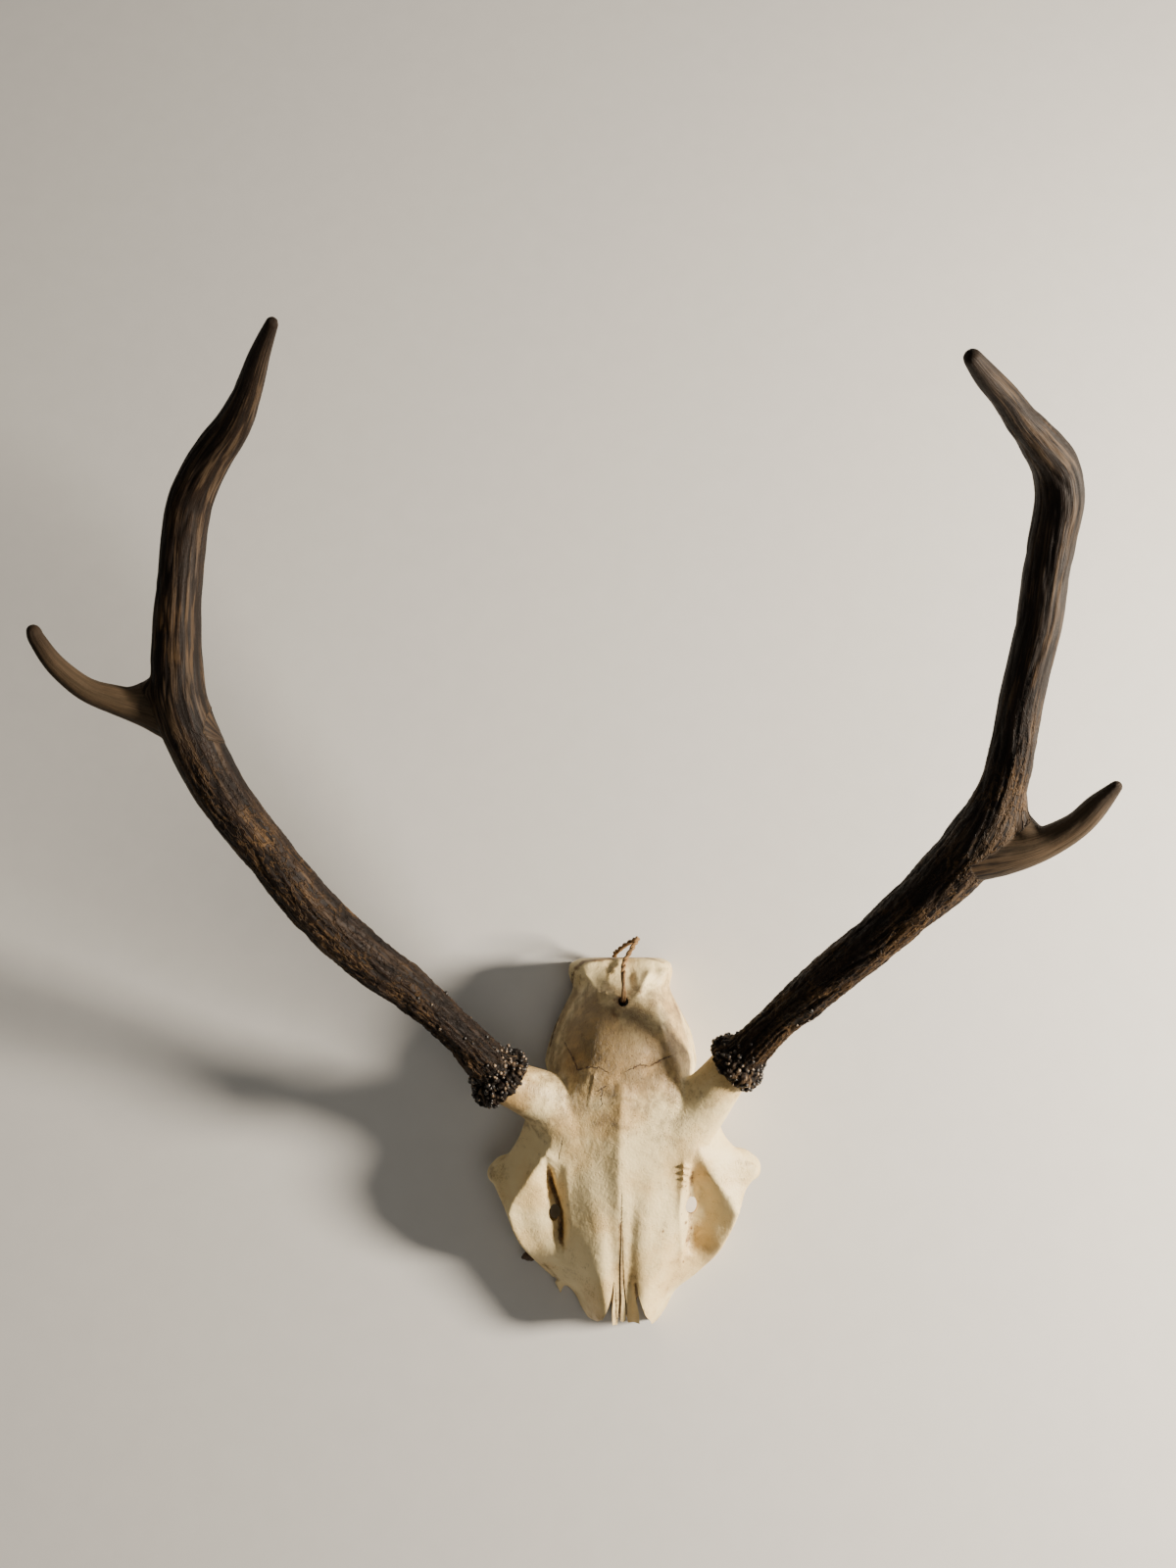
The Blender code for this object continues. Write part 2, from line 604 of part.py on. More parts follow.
def coronet(side, collection):
    """The knobbly ring at the foot of an antler, as a collar and a ring of lumps."""
    middle, way = BURR[side]
    across, back = CORONET_RADIUS[side]
    u = way.cross(Vector((0, 0, 1))).normalized()
    v = way.cross(u)
    rng = np.random.default_rng(SEED + len(side))
    pieces = []
    collar = []
    for lift, share in COLLAR_RINGS:
        ring = []
        for a in np.linspace(0, math.tau, 32, endpoint=False):
            spread = u * (across * math.cos(a)) + v * (back * math.sin(a))
            ring.append(middle + way * lift + spread * share)
        collar.append(ring)
    pieces.append(loft(collar, "collar", collection))
    for row, (lift, share, size) in enumerate(LUMP_ROWS):
        for i in range(CORONET_LUMPS):
            a = math.tau * (i + 0.5 * row) / CORONET_LUMPS + rng.normal(0, 0.05)
            spread = u * (across * math.cos(a)) + v * (back * math.sin(a))
            place = middle + way * (lift + rng.normal(0, 0.0007)) + spread * share
            radius = LUMP_RADIUS * size * rng.uniform(0.8, 1.2)
            pieces.append(ellipsoid(place, (radius, radius, radius), "lump", collection, 2))
    return pieces


def pearls(side, collection):
    """Small lumps scattered over the lower beam."""
    frames = ring_frames(catmull_rom(BEAM_ROUTE[side], ANTLER_STEPS))
    rng = np.random.default_rng(SEED * 3 + len(side))
    pieces = []
    for _ in range(BEAM_PEARLS):
        point, u, v, radius = frames[rng.integers(*PEARL_RINGS)]
        a = rng.uniform(0, math.tau)
        size = rng.uniform(*PEARL_RADII)
        place = point + (radius - 0.3 * size) * (math.cos(a) * u + math.sin(a) * v)
        pieces.append(ellipsoid(place, (size, size, size), "pearl", collection, 1))
    return pieces


def make_antler(side, parts, cutters, look):
    """One fused antler, parted at its fork into a beam and a tine."""
    rods = [antler_rod(BEAM_ROUTE[side], "rod", parts, ribbed=True)]
    rods += [antler_rod(route[side], "rod", parts, ribbed=False) for route in (TINE_ROUTE, WEB_ROUTE)]
    beam = join([*rods, *coronet(side, parts), *pearls(side, parts)], f"antler_{side}_beam")
    fuse(beam, ANTLER_VOXEL, 3)
    tine = beam.copy()
    tine.data = beam.data.copy()
    tine.name = f"antler_{side}_tine"
    parts.objects.link(tine)
    burr_side = drum(BURR[side], GAP / 2, -DRUM_LENGTH["burr"], BURR_DRUM, cutters)
    tine_side = drum(FORK[side], -GAP / 2, DRUM_LENGTH["fork"], FORK_DRUM, cutters)
    cut(beam, [burr_side, tine_side])
    cut(tine, [drum(FORK[side], GAP / 2, DRUM_LENGTH["fork"], FORK_DRUM, cutters)], keep_inside=True)
    for piece, triangles in ((beam, BEAM_TRIANGLES), (tine, TINE_TRIANGLES)):
        thin_out(piece, triangles)
        finish(piece, look)
    hold_behind(beam, BURR[side], 1)
    hold_behind(beam, FORK[side], -1)
    hold_behind(tine, FORK[side], 1)
    return beam, tine


def make_twine(parts):
    route = catmull_rom(TWINE_ROUTE, TWINE_STEPS)
    twine = tube(route, TWINE_RADIUS, "hanging_twine", parts, poly=True)
    knot = ellipsoid(*TWINE_KNOT, "twine_knot", parts, 2)
    look = material("twine", (0.42, 0.24, 0.09), 0.85)
    for piece in (twine, knot):
        finish(piece, look)
    print("twine is", round(float(np.linalg.norm(np.diff(route, axis=0), axis=1).sum()), 4), "m long")
    return twine, knot


def move_to_origin(objects, measured):
    """Moves every object so that the measured ones stand centred over the origin."""
    corners = np.array([v.co for obj in measured for v in obj.data.vertices])
    low, high = corners.min(axis=0), corners.max(axis=0)
    shift = Vector((-(low[0] + high[0]) / 2, -(low[1] + high[1]) / 2, -low[2]))
    for obj in objects:
        obj.data.transform(Matrix.Translation(shift))
    print("moved to the origin by", [round(c, 5) for c in shift])


def main():
    clear_scene()
    parts = new_collection("deer_skull_with_antlers")
    cutters = new_collection("cutters")
    skull = make_skull(parts, cutters)
    antler_look = material("antler", (0.09, 0.055, 0.035), 0.5)
    antlers = [piece for side in BURR for piece in make_antler(side, parts, cutters, antler_look)]
    move_to_origin([skull, *antlers, *make_twine(parts)], [skull, *antlers])


main()
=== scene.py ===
# %% [markdown]
# # A deer skull with its two antlers
#
# The object is the sawn top of a deer's skull with a forked antler on each side, and a loop of twine through
# a hole that was drilled so that it could hang on a nail. It lies on its flat sawn back.
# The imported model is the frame: it fixes where everything is. Here each of its plain solids is replaced by a
# finely shaped piece in the same place. Everything is built in metres, but the long tables of points are in
# millimetres, which are easier to read, and metres() turns them.

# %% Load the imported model
import json
import math

import bmesh
import bpy
import numpy as np
from mathutils import Matrix, Vector, noise

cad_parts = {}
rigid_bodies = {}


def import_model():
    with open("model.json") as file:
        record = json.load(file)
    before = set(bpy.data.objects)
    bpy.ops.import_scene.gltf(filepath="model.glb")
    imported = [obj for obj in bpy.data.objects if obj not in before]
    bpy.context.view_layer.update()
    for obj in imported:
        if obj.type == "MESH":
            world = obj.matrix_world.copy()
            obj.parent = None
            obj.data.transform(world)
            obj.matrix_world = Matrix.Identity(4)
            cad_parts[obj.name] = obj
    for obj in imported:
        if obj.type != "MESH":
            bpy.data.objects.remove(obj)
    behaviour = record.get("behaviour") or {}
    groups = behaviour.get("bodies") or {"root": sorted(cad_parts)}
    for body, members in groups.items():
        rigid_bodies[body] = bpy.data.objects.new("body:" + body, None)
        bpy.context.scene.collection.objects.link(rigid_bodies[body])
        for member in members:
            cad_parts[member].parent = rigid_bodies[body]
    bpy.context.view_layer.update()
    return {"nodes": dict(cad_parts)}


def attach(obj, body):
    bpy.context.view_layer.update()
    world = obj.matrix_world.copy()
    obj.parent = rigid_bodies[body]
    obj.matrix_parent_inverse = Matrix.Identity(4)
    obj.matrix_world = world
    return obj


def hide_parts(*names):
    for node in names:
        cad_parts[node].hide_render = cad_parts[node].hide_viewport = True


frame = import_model()
print("solids:", sorted(frame["nodes"]))

# %% [markdown]
# ## Camera, floor and light
#
# The camera stands where the photographer's phone was, but the skull lies down, so the camera looks down on
# it. A pale floor and three soft lamps make a plain studio. The warm key lamp is on the right.

# %% Camera, floor and lamps
# From the skull's own frame, with its nose at y = 0 and its midline at x = 0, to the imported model's
TO_ROW = Vector((0.02357, -0.21818, 0.0))
CAMERA_AT = Vector((-0.0205, 0.1510, 0.7370)) + TO_ROW
CAMERA_LOOK = Vector((0.0, 0.224, -0.974))

camera = bpy.data.objects.new("camera", bpy.data.cameras.new("camera"))
camera.data.sensor_fit = "VERTICAL"
camera.data.sensor_height = 36.0
camera.data.lens = 27.0
camera.location = CAMERA_AT
camera.rotation_euler = CAMERA_LOOK.to_track_quat("-Z", "Y").to_euler()
bpy.context.scene.collection.objects.link(camera)
bpy.context.scene.camera = camera


def lamp(name, place, target, size, power, color):
    light = bpy.data.lights.new(name, "AREA")
    light.shape = "DISK"
    light.size = size
    light.energy = power
    light.color = color
    obj = bpy.data.objects.new(name, light)
    obj.location = place
    obj.rotation_euler = (Vector(target) - Vector(place)).to_track_quat("-Z", "Y").to_euler()
    bpy.context.scene.collection.objects.link(obj)


lamp("key", (1.34, -0.02, 0.65), (0.0, -0.05, 0.05), 0.28, 82.0, (1.0, 0.89, 0.74))
lamp("fill", (0.5, -0.6, 2.0), (0.0, -0.05, 0.05), 1.2, 5.0, (1.0, 0.96, 0.88))
lamp("back", (-0.2, 1.5, 1.1), (0.0, 0.0, 0.1), 1.0, 1.5, (1.0, 0.98, 0.94))
world = bpy.data.worlds.new("studio")
world.use_nodes = True
world.node_tree.nodes["Background"].inputs["Color"].default_value = (0.86, 0.81, 0.72, 1.0)
world.node_tree.nodes["Background"].inputs["Strength"].default_value = 0.12
bpy.context.scene.world = world

# %% [markdown]
# ## Shader maths as Python
#
# A material is a net of nodes. Two small classes let the formulas be written as Python: a Value wraps one
# output socket and adds a Math node for each operator, and a Look makes any other node in one call.


# %% The two classes
class Value:
    """One output socket of a material, with the operators of a number."""

    def __init__(self, look, socket):
        self.look, self.socket = look, socket

    def maths(self, operation, first, second=0.0):
        return self.look.node("Math", {"operation": operation}, {0: first, 1: second})

    def __add__(self, other):
        return self.maths("ADD", self, other)

    def __mul__(self, other):
        return self.maths("MULTIPLY", self, other)

    def __sub__(self, other):
        return self.maths("SUBTRACT", self, other)

    def __rsub__(self, other):
        return self.maths("SUBTRACT", other, self)

    def __abs__(self):
        return self.maths("ABSOLUTE", self)

    __radd__, __rmul__ = __add__, __mul__

    def rise(self, low, high):
        """0 below low, 1 above high and smooth between; low may be the larger one."""
        settings = {"interpolation_type": "SMOOTHSTEP", "clamp": True}
        return self.look.node("MapRange", settings, {"Value": self, "From Min": low, "From Max": high})


class Look:
    """A material and its nodes."""

    def __init__(self, name, roughness):
        self.material = bpy.data.materials.new(name)
        self.material.use_nodes = True
        self.tree = self.material.node_tree
        self.shader = self.tree.nodes["Principled BSDF"]
        self.feed(self.shader.inputs["Roughness"], roughness)
        self.place = self.node("TexCoord", {}, {}, "Object")

    def feed(self, socket, value):
        if isinstance(value, Value):
            self.tree.links.new(value.socket, socket)
        else:
            socket.default_value = value

    def node(self, kind, settings, inputs, output=0):
        made = self.tree.nodes.new("ShaderNode" + kind)
        for name, value in settings.items():
            setattr(made, name, value)
        for name, value in inputs.items():
            self.feed(made.inputs[name], value)
        return Value(self, made.outputs[output])

    def stretched(self, vector, factors):
        return self.node("VectorMath", {"operation": "MULTIPLY"}, {0: vector, 1: factors})

    def noise(self, vector, scale, detail=3.0, roughness=0.55):
        inputs = {"Vector": vector, "Scale": scale, "Detail": detail, "Roughness": roughness}
        return self.node("TexNoise", {}, inputs)

    def spots(self, vector, scale):
        return self.node("TexVoronoi", {}, {"Vector": vector, "Scale": scale})

    def attribute(self, name, output="Fac"):
        return self.node("Attribute", {"attribute_name": name}, {}, output)

    def blend(self, mask, under, over):
        """The colour under where mask is 0 and over where it is 1."""
        return self.node("Mix", {"data_type": "RGBA"}, {0: mask, 6: under, 7: over}, 2)

    def coat(self, mask, over):
        """Lays one more colour on the colours so far, as strongly as mask says."""
        self.color = self.blend(mask, self.color, over)

    def finish(self, color, bump=None, distance=0.001, strength=1.0):
        self.feed(self.shader.inputs["Base Color"], color)
        if bump:
            inputs = {"Height": bump, "Distance": distance, "Strength": strength}
            self.feed(self.shader.inputs["Normal"], self.node("Bump", {}, inputs))
        return self.material


def tone(red, green, blue):
    return (red, green, blue, 1.0)


# %% Floor
floor_look = Look("pale_floor", 0.8)
floor_noise = floor_look.noise(floor_look.place, 60.0)
floor_color = floor_look.blend(floor_noise, tone(0.63, 0.62, 0.60), tone(0.68, 0.67, 0.65))
floor_look.finish(floor_color)

floor_mesh = bpy.data.meshes.new("floor")
FLOOR_HALF = 3.0
corners = [(x * FLOOR_HALF, y * FLOOR_HALF, 0.0) for x, y in ((-1, -1), (1, -1), (1, 1), (-1, 1))]
floor_mesh.from_pydata(corners, [], [(0, 1, 2, 3)])
floor_mesh.materials.append(floor_look.material)
floor = bpy.data.objects.new("floor", floor_mesh)
bpy.context.scene.collection.objects.link(floor)

# %% [markdown]
# ## Modelling helpers
#
# Grown forms have no flat faces or straight edges. They are made here in three moves: rough closed bodies are
# lofted through rings, a voxel Remesh melts them into one skin, and code then pushes the points of that skin
# to carve ridges and furrows. Sharp openings are cut last with a Boolean.


# %% Routes, rings and bodies
def metres(millimetres):
    """A number, a point or a whole table, from millimetres."""
    return np.array(millimetres, float) / 1000


def smooth_route(points, steps):
    """A Catmull-Rom curve through rows of any number of columns."""
    p = np.array(points, float)
    ends = np.vstack([2 * p[0] - p[1], p, 2 * p[-1] - p[-2]])
    t = (np.arange(steps) / steps)[:, None]
    pieces = []
    for a, b, c, d in zip(ends, ends[1:], ends[2:], ends[3:]):
        curve = 2 * b + (c - a) * t + (2 * a - 5 * b + 4 * c - d) * t**2
        pieces.append(0.5 * (curve + (3 * b - a - 3 * c + d) * t**3))
    return np.vstack([*pieces, p[-1:]])


def ring_frames(route):
    """For each point of a route its place, two cross directions that don't twist, its way and its radius."""
    points = route[:, :3]
    ways = np.gradient(points, axis=0)
    ways /= np.linalg.norm(ways, axis=1)[:, None]
    across = np.cross(ways[0], (0.0, 0.0, 1.0))
    frames = []
    for point, way, radius in zip(points, ways, route[:, 3]):
        across = across - way * np.dot(across, way)
        across /= np.linalg.norm(across)
        frames.append((point, across, np.cross(way, across), way, radius))
    return frames


def object_from(bm, name):
    mesh = bpy.data.meshes.new(name)
    bm.to_mesh(mesh)
    bm.free()
    obj = bpy.data.objects.new(name, mesh)
    bpy.context.scene.collection.objects.link(obj)
    return obj


def loft(rings, name):
    bm = bmesh.new()
    loops = [[bm.verts.new(p) for p in ring] for ring in rings]
    count = len(loops[0])
    for near, far in zip(loops, loops[1:]):
        for i in range(count):
            j = (i + 1) % count
            bm.faces.new((near[i], near[j], far[j], far[i]))
    bm.faces.new(loops[0])
    bm.faces.new(loops[-1][::-1])
    bmesh.ops.recalc_face_normals(bm, faces=bm.faces)
    return object_from(bm, name)


def rod(points, steps, sides, name):
    """A round body along points of x, y, z and radius, with a rounded far end."""
    frames = ring_frames(smooth_route(points, steps))
    angles = np.linspace(0, math.tau, sides, endpoint=False)[:, None]
    rings = [p + r * (np.cos(angles) * u + np.sin(angles) * v) for p, u, v, _, r in frames]
    point, _, _, way, radius = frames[-1]
    last = rings[-1]
    for share in (0.5, 0.85, 0.97):
        rings.append(point + way * radius * share + math.sqrt(1 - share**2) * (last - point))
    return loft(rings, name)


def blob(center, half_sizes, name, subdivisions=4):
    bm = bmesh.new()
    bmesh.ops.create_icosphere(bm, subdivisions=subdivisions, radius=1.0)
    bmesh.ops.transform(bm, matrix=Matrix.Diagonal((*half_sizes, 1.0)), verts=bm.verts)
    bmesh.ops.translate(bm, vec=Vector(center), verts=bm.verts)
    return object_from(bm, name)


def plug(outline, bottom, top, name):
    """A cutter: an outline of (x, y) points from one height to another."""
    return loft([[(x, y, z) for x, y in outline] for z in (bottom, top)], name)


# %% Melting, carving and moving points
def bake(obj):
    """Turns an object's modifiers into its mesh."""
    bpy.context.view_layer.update()
    depsgraph = bpy.context.evaluated_depsgraph_get()
    obj.data = bpy.data.meshes.new_from_object(obj.evaluated_get(depsgraph))
    obj.modifiers.clear()


def joined(objects, name):
    bm = bmesh.new()
    for obj in objects:
        bm.from_mesh(obj.data)
        bpy.data.objects.remove(obj)
    return object_from(bm, name)


def melted(objects, name, voxel, smoothing):
    """Overlapping bodies as one skin of even squares."""
    obj = joined(objects, name)
    remesh = obj.modifiers.new("Melt", "REMESH")
    remesh.mode = "VOXEL"
    remesh.voxel_size = voxel
    smooth = obj.modifiers.new("Soften", "SMOOTH")
    smooth.factor = 0.5
    smooth.iterations = smoothing
    bake(obj)
    return obj


def carve(obj, cutters):
    block = joined(cutters, "cutters")
    boolean = obj.modifiers.new("Carve", "BOOLEAN")
    boolean.operation = "DIFFERENCE"
    boolean.solver = "EXACT"
    boolean.use_self = True
    boolean.object = block
    bake(obj)
    bpy.data.objects.remove(block)
    bm = bmesh.new()
    bm.from_mesh(obj.data)
    bmesh.ops.remove_doubles(bm, verts=bm.verts, dist=0.00001)
    bm.to_mesh(obj.data)
    bm.free()


def read_points(mesh, what="co"):
    values = np.empty(len(mesh.vertices) * 3)
    mesh.vertices.foreach_get(what, values)
    return values.reshape(-1, 3)


def write_points(mesh, points):
    mesh.vertices.foreach_set("co", np.asarray(points).ravel())
    mesh.update()


def write_attribute(mesh, name, values):
    """Stores one number, or a vector, for each point of a mesh, for its material to read."""
    values = np.asarray(values, float)
    kind, field = ("FLOAT", "value") if values.ndim == 1 else ("FLOAT_VECTOR", "vector")
    mesh.attributes.new(name, kind, "POINT").data.foreach_set(field, values.ravel())


def beside(path, x, y):
    """Each point's distance to a path, signed by its side, and how far along the path it is, from 0 to 1."""
    path = np.array(path)
    lengths = np.hypot(*np.diff(path, axis=0).T)
    starts = np.concatenate([[0], np.cumsum(lengths)])
    best, side, along = np.full(len(x), np.inf), np.ones(len(x)), np.zeros(len(x))
    for (ax, ay), (bx, by), length, start in zip(path, path[1:], lengths, starts):
        ux, uy = (bx - ax) / length, (by - ay) / length
        reach = np.clip((x - ax) * ux + (y - ay) * uy, 0, length)
        away = np.hypot(x - ax - reach * ux, y - ay - reach * uy)
        nearer = away < best
        best = np.where(nearer, away, best)
        side = np.where(nearer, np.sign(ux * (y - ay) - uy * (x - ax)), side)
        along = np.where(nearer, (start + reach) / starts[-1], along)
    return best * side, along


def ripple(points, size, seed=0.0):
    """Smooth noise between -1 and 1 at each point, with lumps of about that size in metres."""
    shift = Vector((seed * 7.3, seed * 3.1, seed * 5.7))
    return np.array([noise.noise(Vector(p) / size + shift) for p in points])


def show(obj, material, sharp_degrees=None):
    """The last touches on a finished piece: its material, smooth shading, and sharp edges past an angle."""
    obj.data.materials.clear()
    obj.data.materials.append(material)
    obj.data.polygons.foreach_set("use_smooth", np.ones(len(obj.data.polygons), bool))
    if sharp_degrees:
        obj.data.set_sharp_from_angle(angle=math.radians(sharp_degrees))
    obj.data.transform(Matrix.Translation(TO_ROW))
    obj.data.calc_loop_triangles()
    print(obj.name, len(obj.data.loop_triangles), "triangles")


# %% [markdown]
# ## The skull
#
# The real piece is the frontal bone, the roof of the braincase and the back half of the nasal bones, sawn off
# flat. Its body is lofted through sections across the head, the same ones as in the solid, and the pedicles
# that carry the antlers are rods that melt into it.

# %% Sections of the skull
# y, left edge, right edge, height of the edge, groove x, groove z, brow x, brow z, midline z
SKULL_SECTIONS = metres([
    (1, 19, 19, 6, 15, 18, 9, 26, 23.5),
    (8, 24, 24.5, 6, 17, 22, 9.5, 30, 27),
    (18, 30, 30.5, 6, 20, 25, 11, 33.5, 31),
    (27, 42.8, 41.8, 10.5, 27, 25, 14, 36, 34.5),
    (38, 53, 52, 19.5, 33.5, 28.5, 18, 39.2, 39.5),
    (50, 61.3, 58.8, 26.8, 37, 32.5, 23, 42.2, 44.5),
    (64, 66.7, 65.2, 33, 40, 36.5, 26, 44.8, 48.5),
    (76, 72.6, 69.1, 35.5, 42, 40.5, 28, 47.5, 51.5),
    (86, 76.6, 76.6, 35.5, 43, 44.5, 29, 50.5, 54.5),
    (94, 67.4, 69.4, 37, 43, 48.5, 29, 53.5, 57),
    (106, 59.5, 57.5, 38, 42, 53, 27, 58, 60.5),
    (122, 54, 52, 38, 39, 57, 24, 62, 64),
    (137, 44, 42, 28, 33, 54, 21, 64, 66),
    (148, 46, 44, 20, 36, 45, 21, 62.5, 67.5),
    (165, 41.5, 41, 18, 32.5, 41, 19, 59, 63.5),
    (180, 34.5, 33.5, 20, 27, 37, 15.5, 52, 56),
    (190, 29.5, 28.5, 24, 23, 36, 12.5, 45.5, 47.5),
    (198, 32, 30, 27, 25, 36, 13, 39.5, 40),
    (204, 31, 29, 30, 24.5, 34, 13, 36.5, 36),
    (207.5, 25, 24, 26, 19.5, 29, 12, 31.5, 31),
])
BURR = {
    "left": (Vector((-0.0663, 0.1362, 0.0640)), Vector((-0.64, 0.55, 0.54)).normalized()),
    "right": (Vector((0.0590, 0.1440, 0.0640)), Vector((0.62, 0.56, 0.55)).normalized()),
}
PEDICLE_ROOT, PEDICLE_WAIST = (0.0310, 0.1140, 0.0380), (0.0460, 0.1270, 0.0510)
PEDICLE_RADII = (0.0235, 0.0155, 0.0120)  # at the root, the waist and the burr
SOCKET_CORNERS = metres([  # centre, half sizes
    ((-73.6, 84.8, 28.5), (5, 6, 5.2)),
    ((-66.4, 86.2, 29), (10.5, 9, 6.4)),
    ((73.2, 87.8, 29), (5.8, 7.2, 5.6)),
    ((65.4, 89, 29.5), (11.5, 10, 6.6)),
])
SPLINTER = metres([(-37.5, 31, 9, 4.5), (-37, 24, 7.5, 3.5), (-36.4, 16.5, 5, 0.9)])  # x, y, z, radius
BELOW_CUT = 0.004  # how far the body reaches below the saw cut, which comes last
SKULL_VOXEL = 0.001
SOFTENING = 14  # passes of the Smooth modifier


# %% Loft and melt the skull
def skull_ring(section):
    y, left, right, edge_z, groove_x, groove_z, brow_x, brow_z, middle_z = section
    left_half = [(-left, edge_z), (-groove_x, groove_z), (-brow_x, brow_z)]
    right_half = [(brow_x, brow_z), (groove_x, groove_z), (right, edge_z)]
    top = smooth_route([*left_half, (0.0, middle_z), *right_half], 6)
    down = [(right, edge_z * 0.5), (right, -BELOW_CUT)]
    back = [(x, -BELOW_CUT) for x in np.linspace(right, -left, 10)[1:-1]]
    up = [(-left, -BELOW_CUT), (-left, edge_z * 0.5)]
    return [(x, y, z) for x, z in [*top, *down, *back, *up]]


bodies = [loft([skull_ring(s) for s in smooth_route(SKULL_SECTIONS, 5)], "body")]
for side, sign in (("left", -1), ("right", 1)):
    middle, way = BURR[side]
    places = [(sign * PEDICLE_ROOT[0], *PEDICLE_ROOT[1:]), (sign * PEDICLE_WAIST[0], *PEDICLE_WAIST[1:])]
    places += [tuple(middle), tuple(middle + way * 0.003)]
    route = [(*p, r) for p, r in zip(places, (*PEDICLE_RADII, PEDICLE_RADII[-1]))]
    bodies.append(rod(route, 6, 32, "pedicle"))
bodies += [blob(*corner, "socket_corner") for corner in SOCKET_CORNERS]
bodies.append(rod(SPLINTER, 4, 12, "splinter"))
skull = melted(bodies, "deer_skull", SKULL_VOXEL, SOFTENING)
print("skull body:", len(skull.data.vertices), "points")

# %% [markdown]
# ## Ridges, furrows and trenches
#
# What makes a deer's forehead is low relief: a ridge along the middle, swollen nasal bones, a lip round each
# eye socket, and a deep ragged trench above each eye. Each is a stroke along a path, with a width and a
# height, and every point of the skin is moved by its distance to the strokes. This is like drawing with a
# soft brush in a sculpting program, but every stroke stays a readable line of numbers.

# %% Strokes and trenches
SOFT, CREASED = 2.0, 1.4
STROKE_END = 0.22  # the share of its length over which a stroke rises at each end
# Paths of (x, y), half width, height, and how creased the top is; furrows are negative
STROKES = [
    ([(-1.2, 140), (-2.2, 122.5), (-3.1, 105), (-3.6, 88), (-3.5, 74), (-2.7, 56)], 7, 2.9, CREASED),
    ([(-48, 93), (-51, 76), (-50, 62), (-45, 48), (-37, 32)], 10, 4.6, SOFT),
    ([(-0.4, 136.5), (-1.6, 126)], 6.2, 1, SOFT),
    ([(-39, 108), (-44.5, 95.7), (-50.6, 88.1), (-58.5, 77.8), (-63, 69.9), (-65.1, 63.6), (-63.2, 55.8),
      (-59.4, 47.4), (-48, 32)], 8.4, 8.2, CREASED),
    ([(38, 108), (43, 94.5), (48, 85.6), (54.5, 77.1), (59.8, 70), (62.8, 62.9), (60.4, 54.3), (54.5, 44),
      (44, 30)], 8.4, 7, CREASED),
    ([(41.5, 98), (45, 78), (45.5, 64), (42.5, 50), (36, 34)], 6.4, -3, SOFT),
    ([(-23, 96), (-18.5, 76), (-15, 59), (-13, 44), (-11.7, 26), (-12.5, -30)], 7, 1.6, SOFT),
    ([(20, 96), (15, 78), (10.8, 61), (9.6, 48), (9, 34), (9.2, 18), (14, -30)], 6.4, 1.2, SOFT),
    ([(6, 80), (4.2, 62), (3.4, 48), (3, 30), (3.6, -20)], 3, -1, SOFT),
    ([(-9.5, 70), (-7.2, 40), (-5.5, -10)], 3, -0.8, SOFT),
    ([(-32.5, 99), (-32.2, 75), (-31, 60), (-30, 40)], 2.4, 0.7, SOFT),
    ([(33, 99), (31.6, 78), (30.8, 64.6), (31.4, 54.3), (32.6, 43.2), (31.8, 30)], 2.2, 1.8, CREASED),
    ([(31, 90.8), (37.8, 89)], 0.9, 1.8, SOFT),
    ([(31.2, 87.4), (38.2, 84.8)], 0.9, 2, SOFT),
    ([(31.2, 84), (37.2, 81)], 0.9, 1.7, SOFT),
    ([(31.5, 80.2), (36.8, 77)], 0.8, 1.4, SOFT),
    ([(-25, 200), (-18.7, 192), (-15.4, 186.2), (-9.6, 185.2), (-3, 184.6)], 2.4, 2.6, CREASED),
    ([(2, 184), (8.2, 184.8), (11, 189), (13.2, 194.1), (18, 202)], 2.6, 2.8, CREASED),
    ([(-15.5, 187.3), (-13.3, 187.2)], 1.6, 1.2, SOFT),
    ([(-11.2, 185.8), (-9.4, 185.7)], 1.4, 1, SOFT),
    ([(-11, 193), (8.5, 193.5)], 6.6, -2.4, SOFT),
    ([(-32, 199), (-16.1, 205), (0, 206.5), (19.3, 205), (30, 199.5)], 2.8, 2.4, CREASED),
    ([(22.5, 201), (25, 189)], 4.4, 2, SOFT),
    ([(-33, 148), (-10, 145), (25, 147.5)], 5, -1.8, SOFT),
    ([(-16, 143.5), (-18, 133.8), (-20.4, 122)], 0.8, 0.5, SOFT),
    ([(-18, 194), (-23.2, 178), (-29, 160), (-31.5, 143)], 4.4, 2, CREASED),
    ([(18, 192), (20, 170), (25.5, 153), (35, 138)], 4.2, 2.2, CREASED),
    ([(-25.5, 202), (-30, 187), (-35, 173.5), (-39, 156)], 1.6, 1.2, SOFT),
    ([(24.5, 202), (28.5, 187), (33.5, 173.5), (37.5, 156)], 1.6, 1.2, SOFT),
    ([(-6.8, 176), (-4.1, 170)], 1.3, -0.7, SOFT),
]
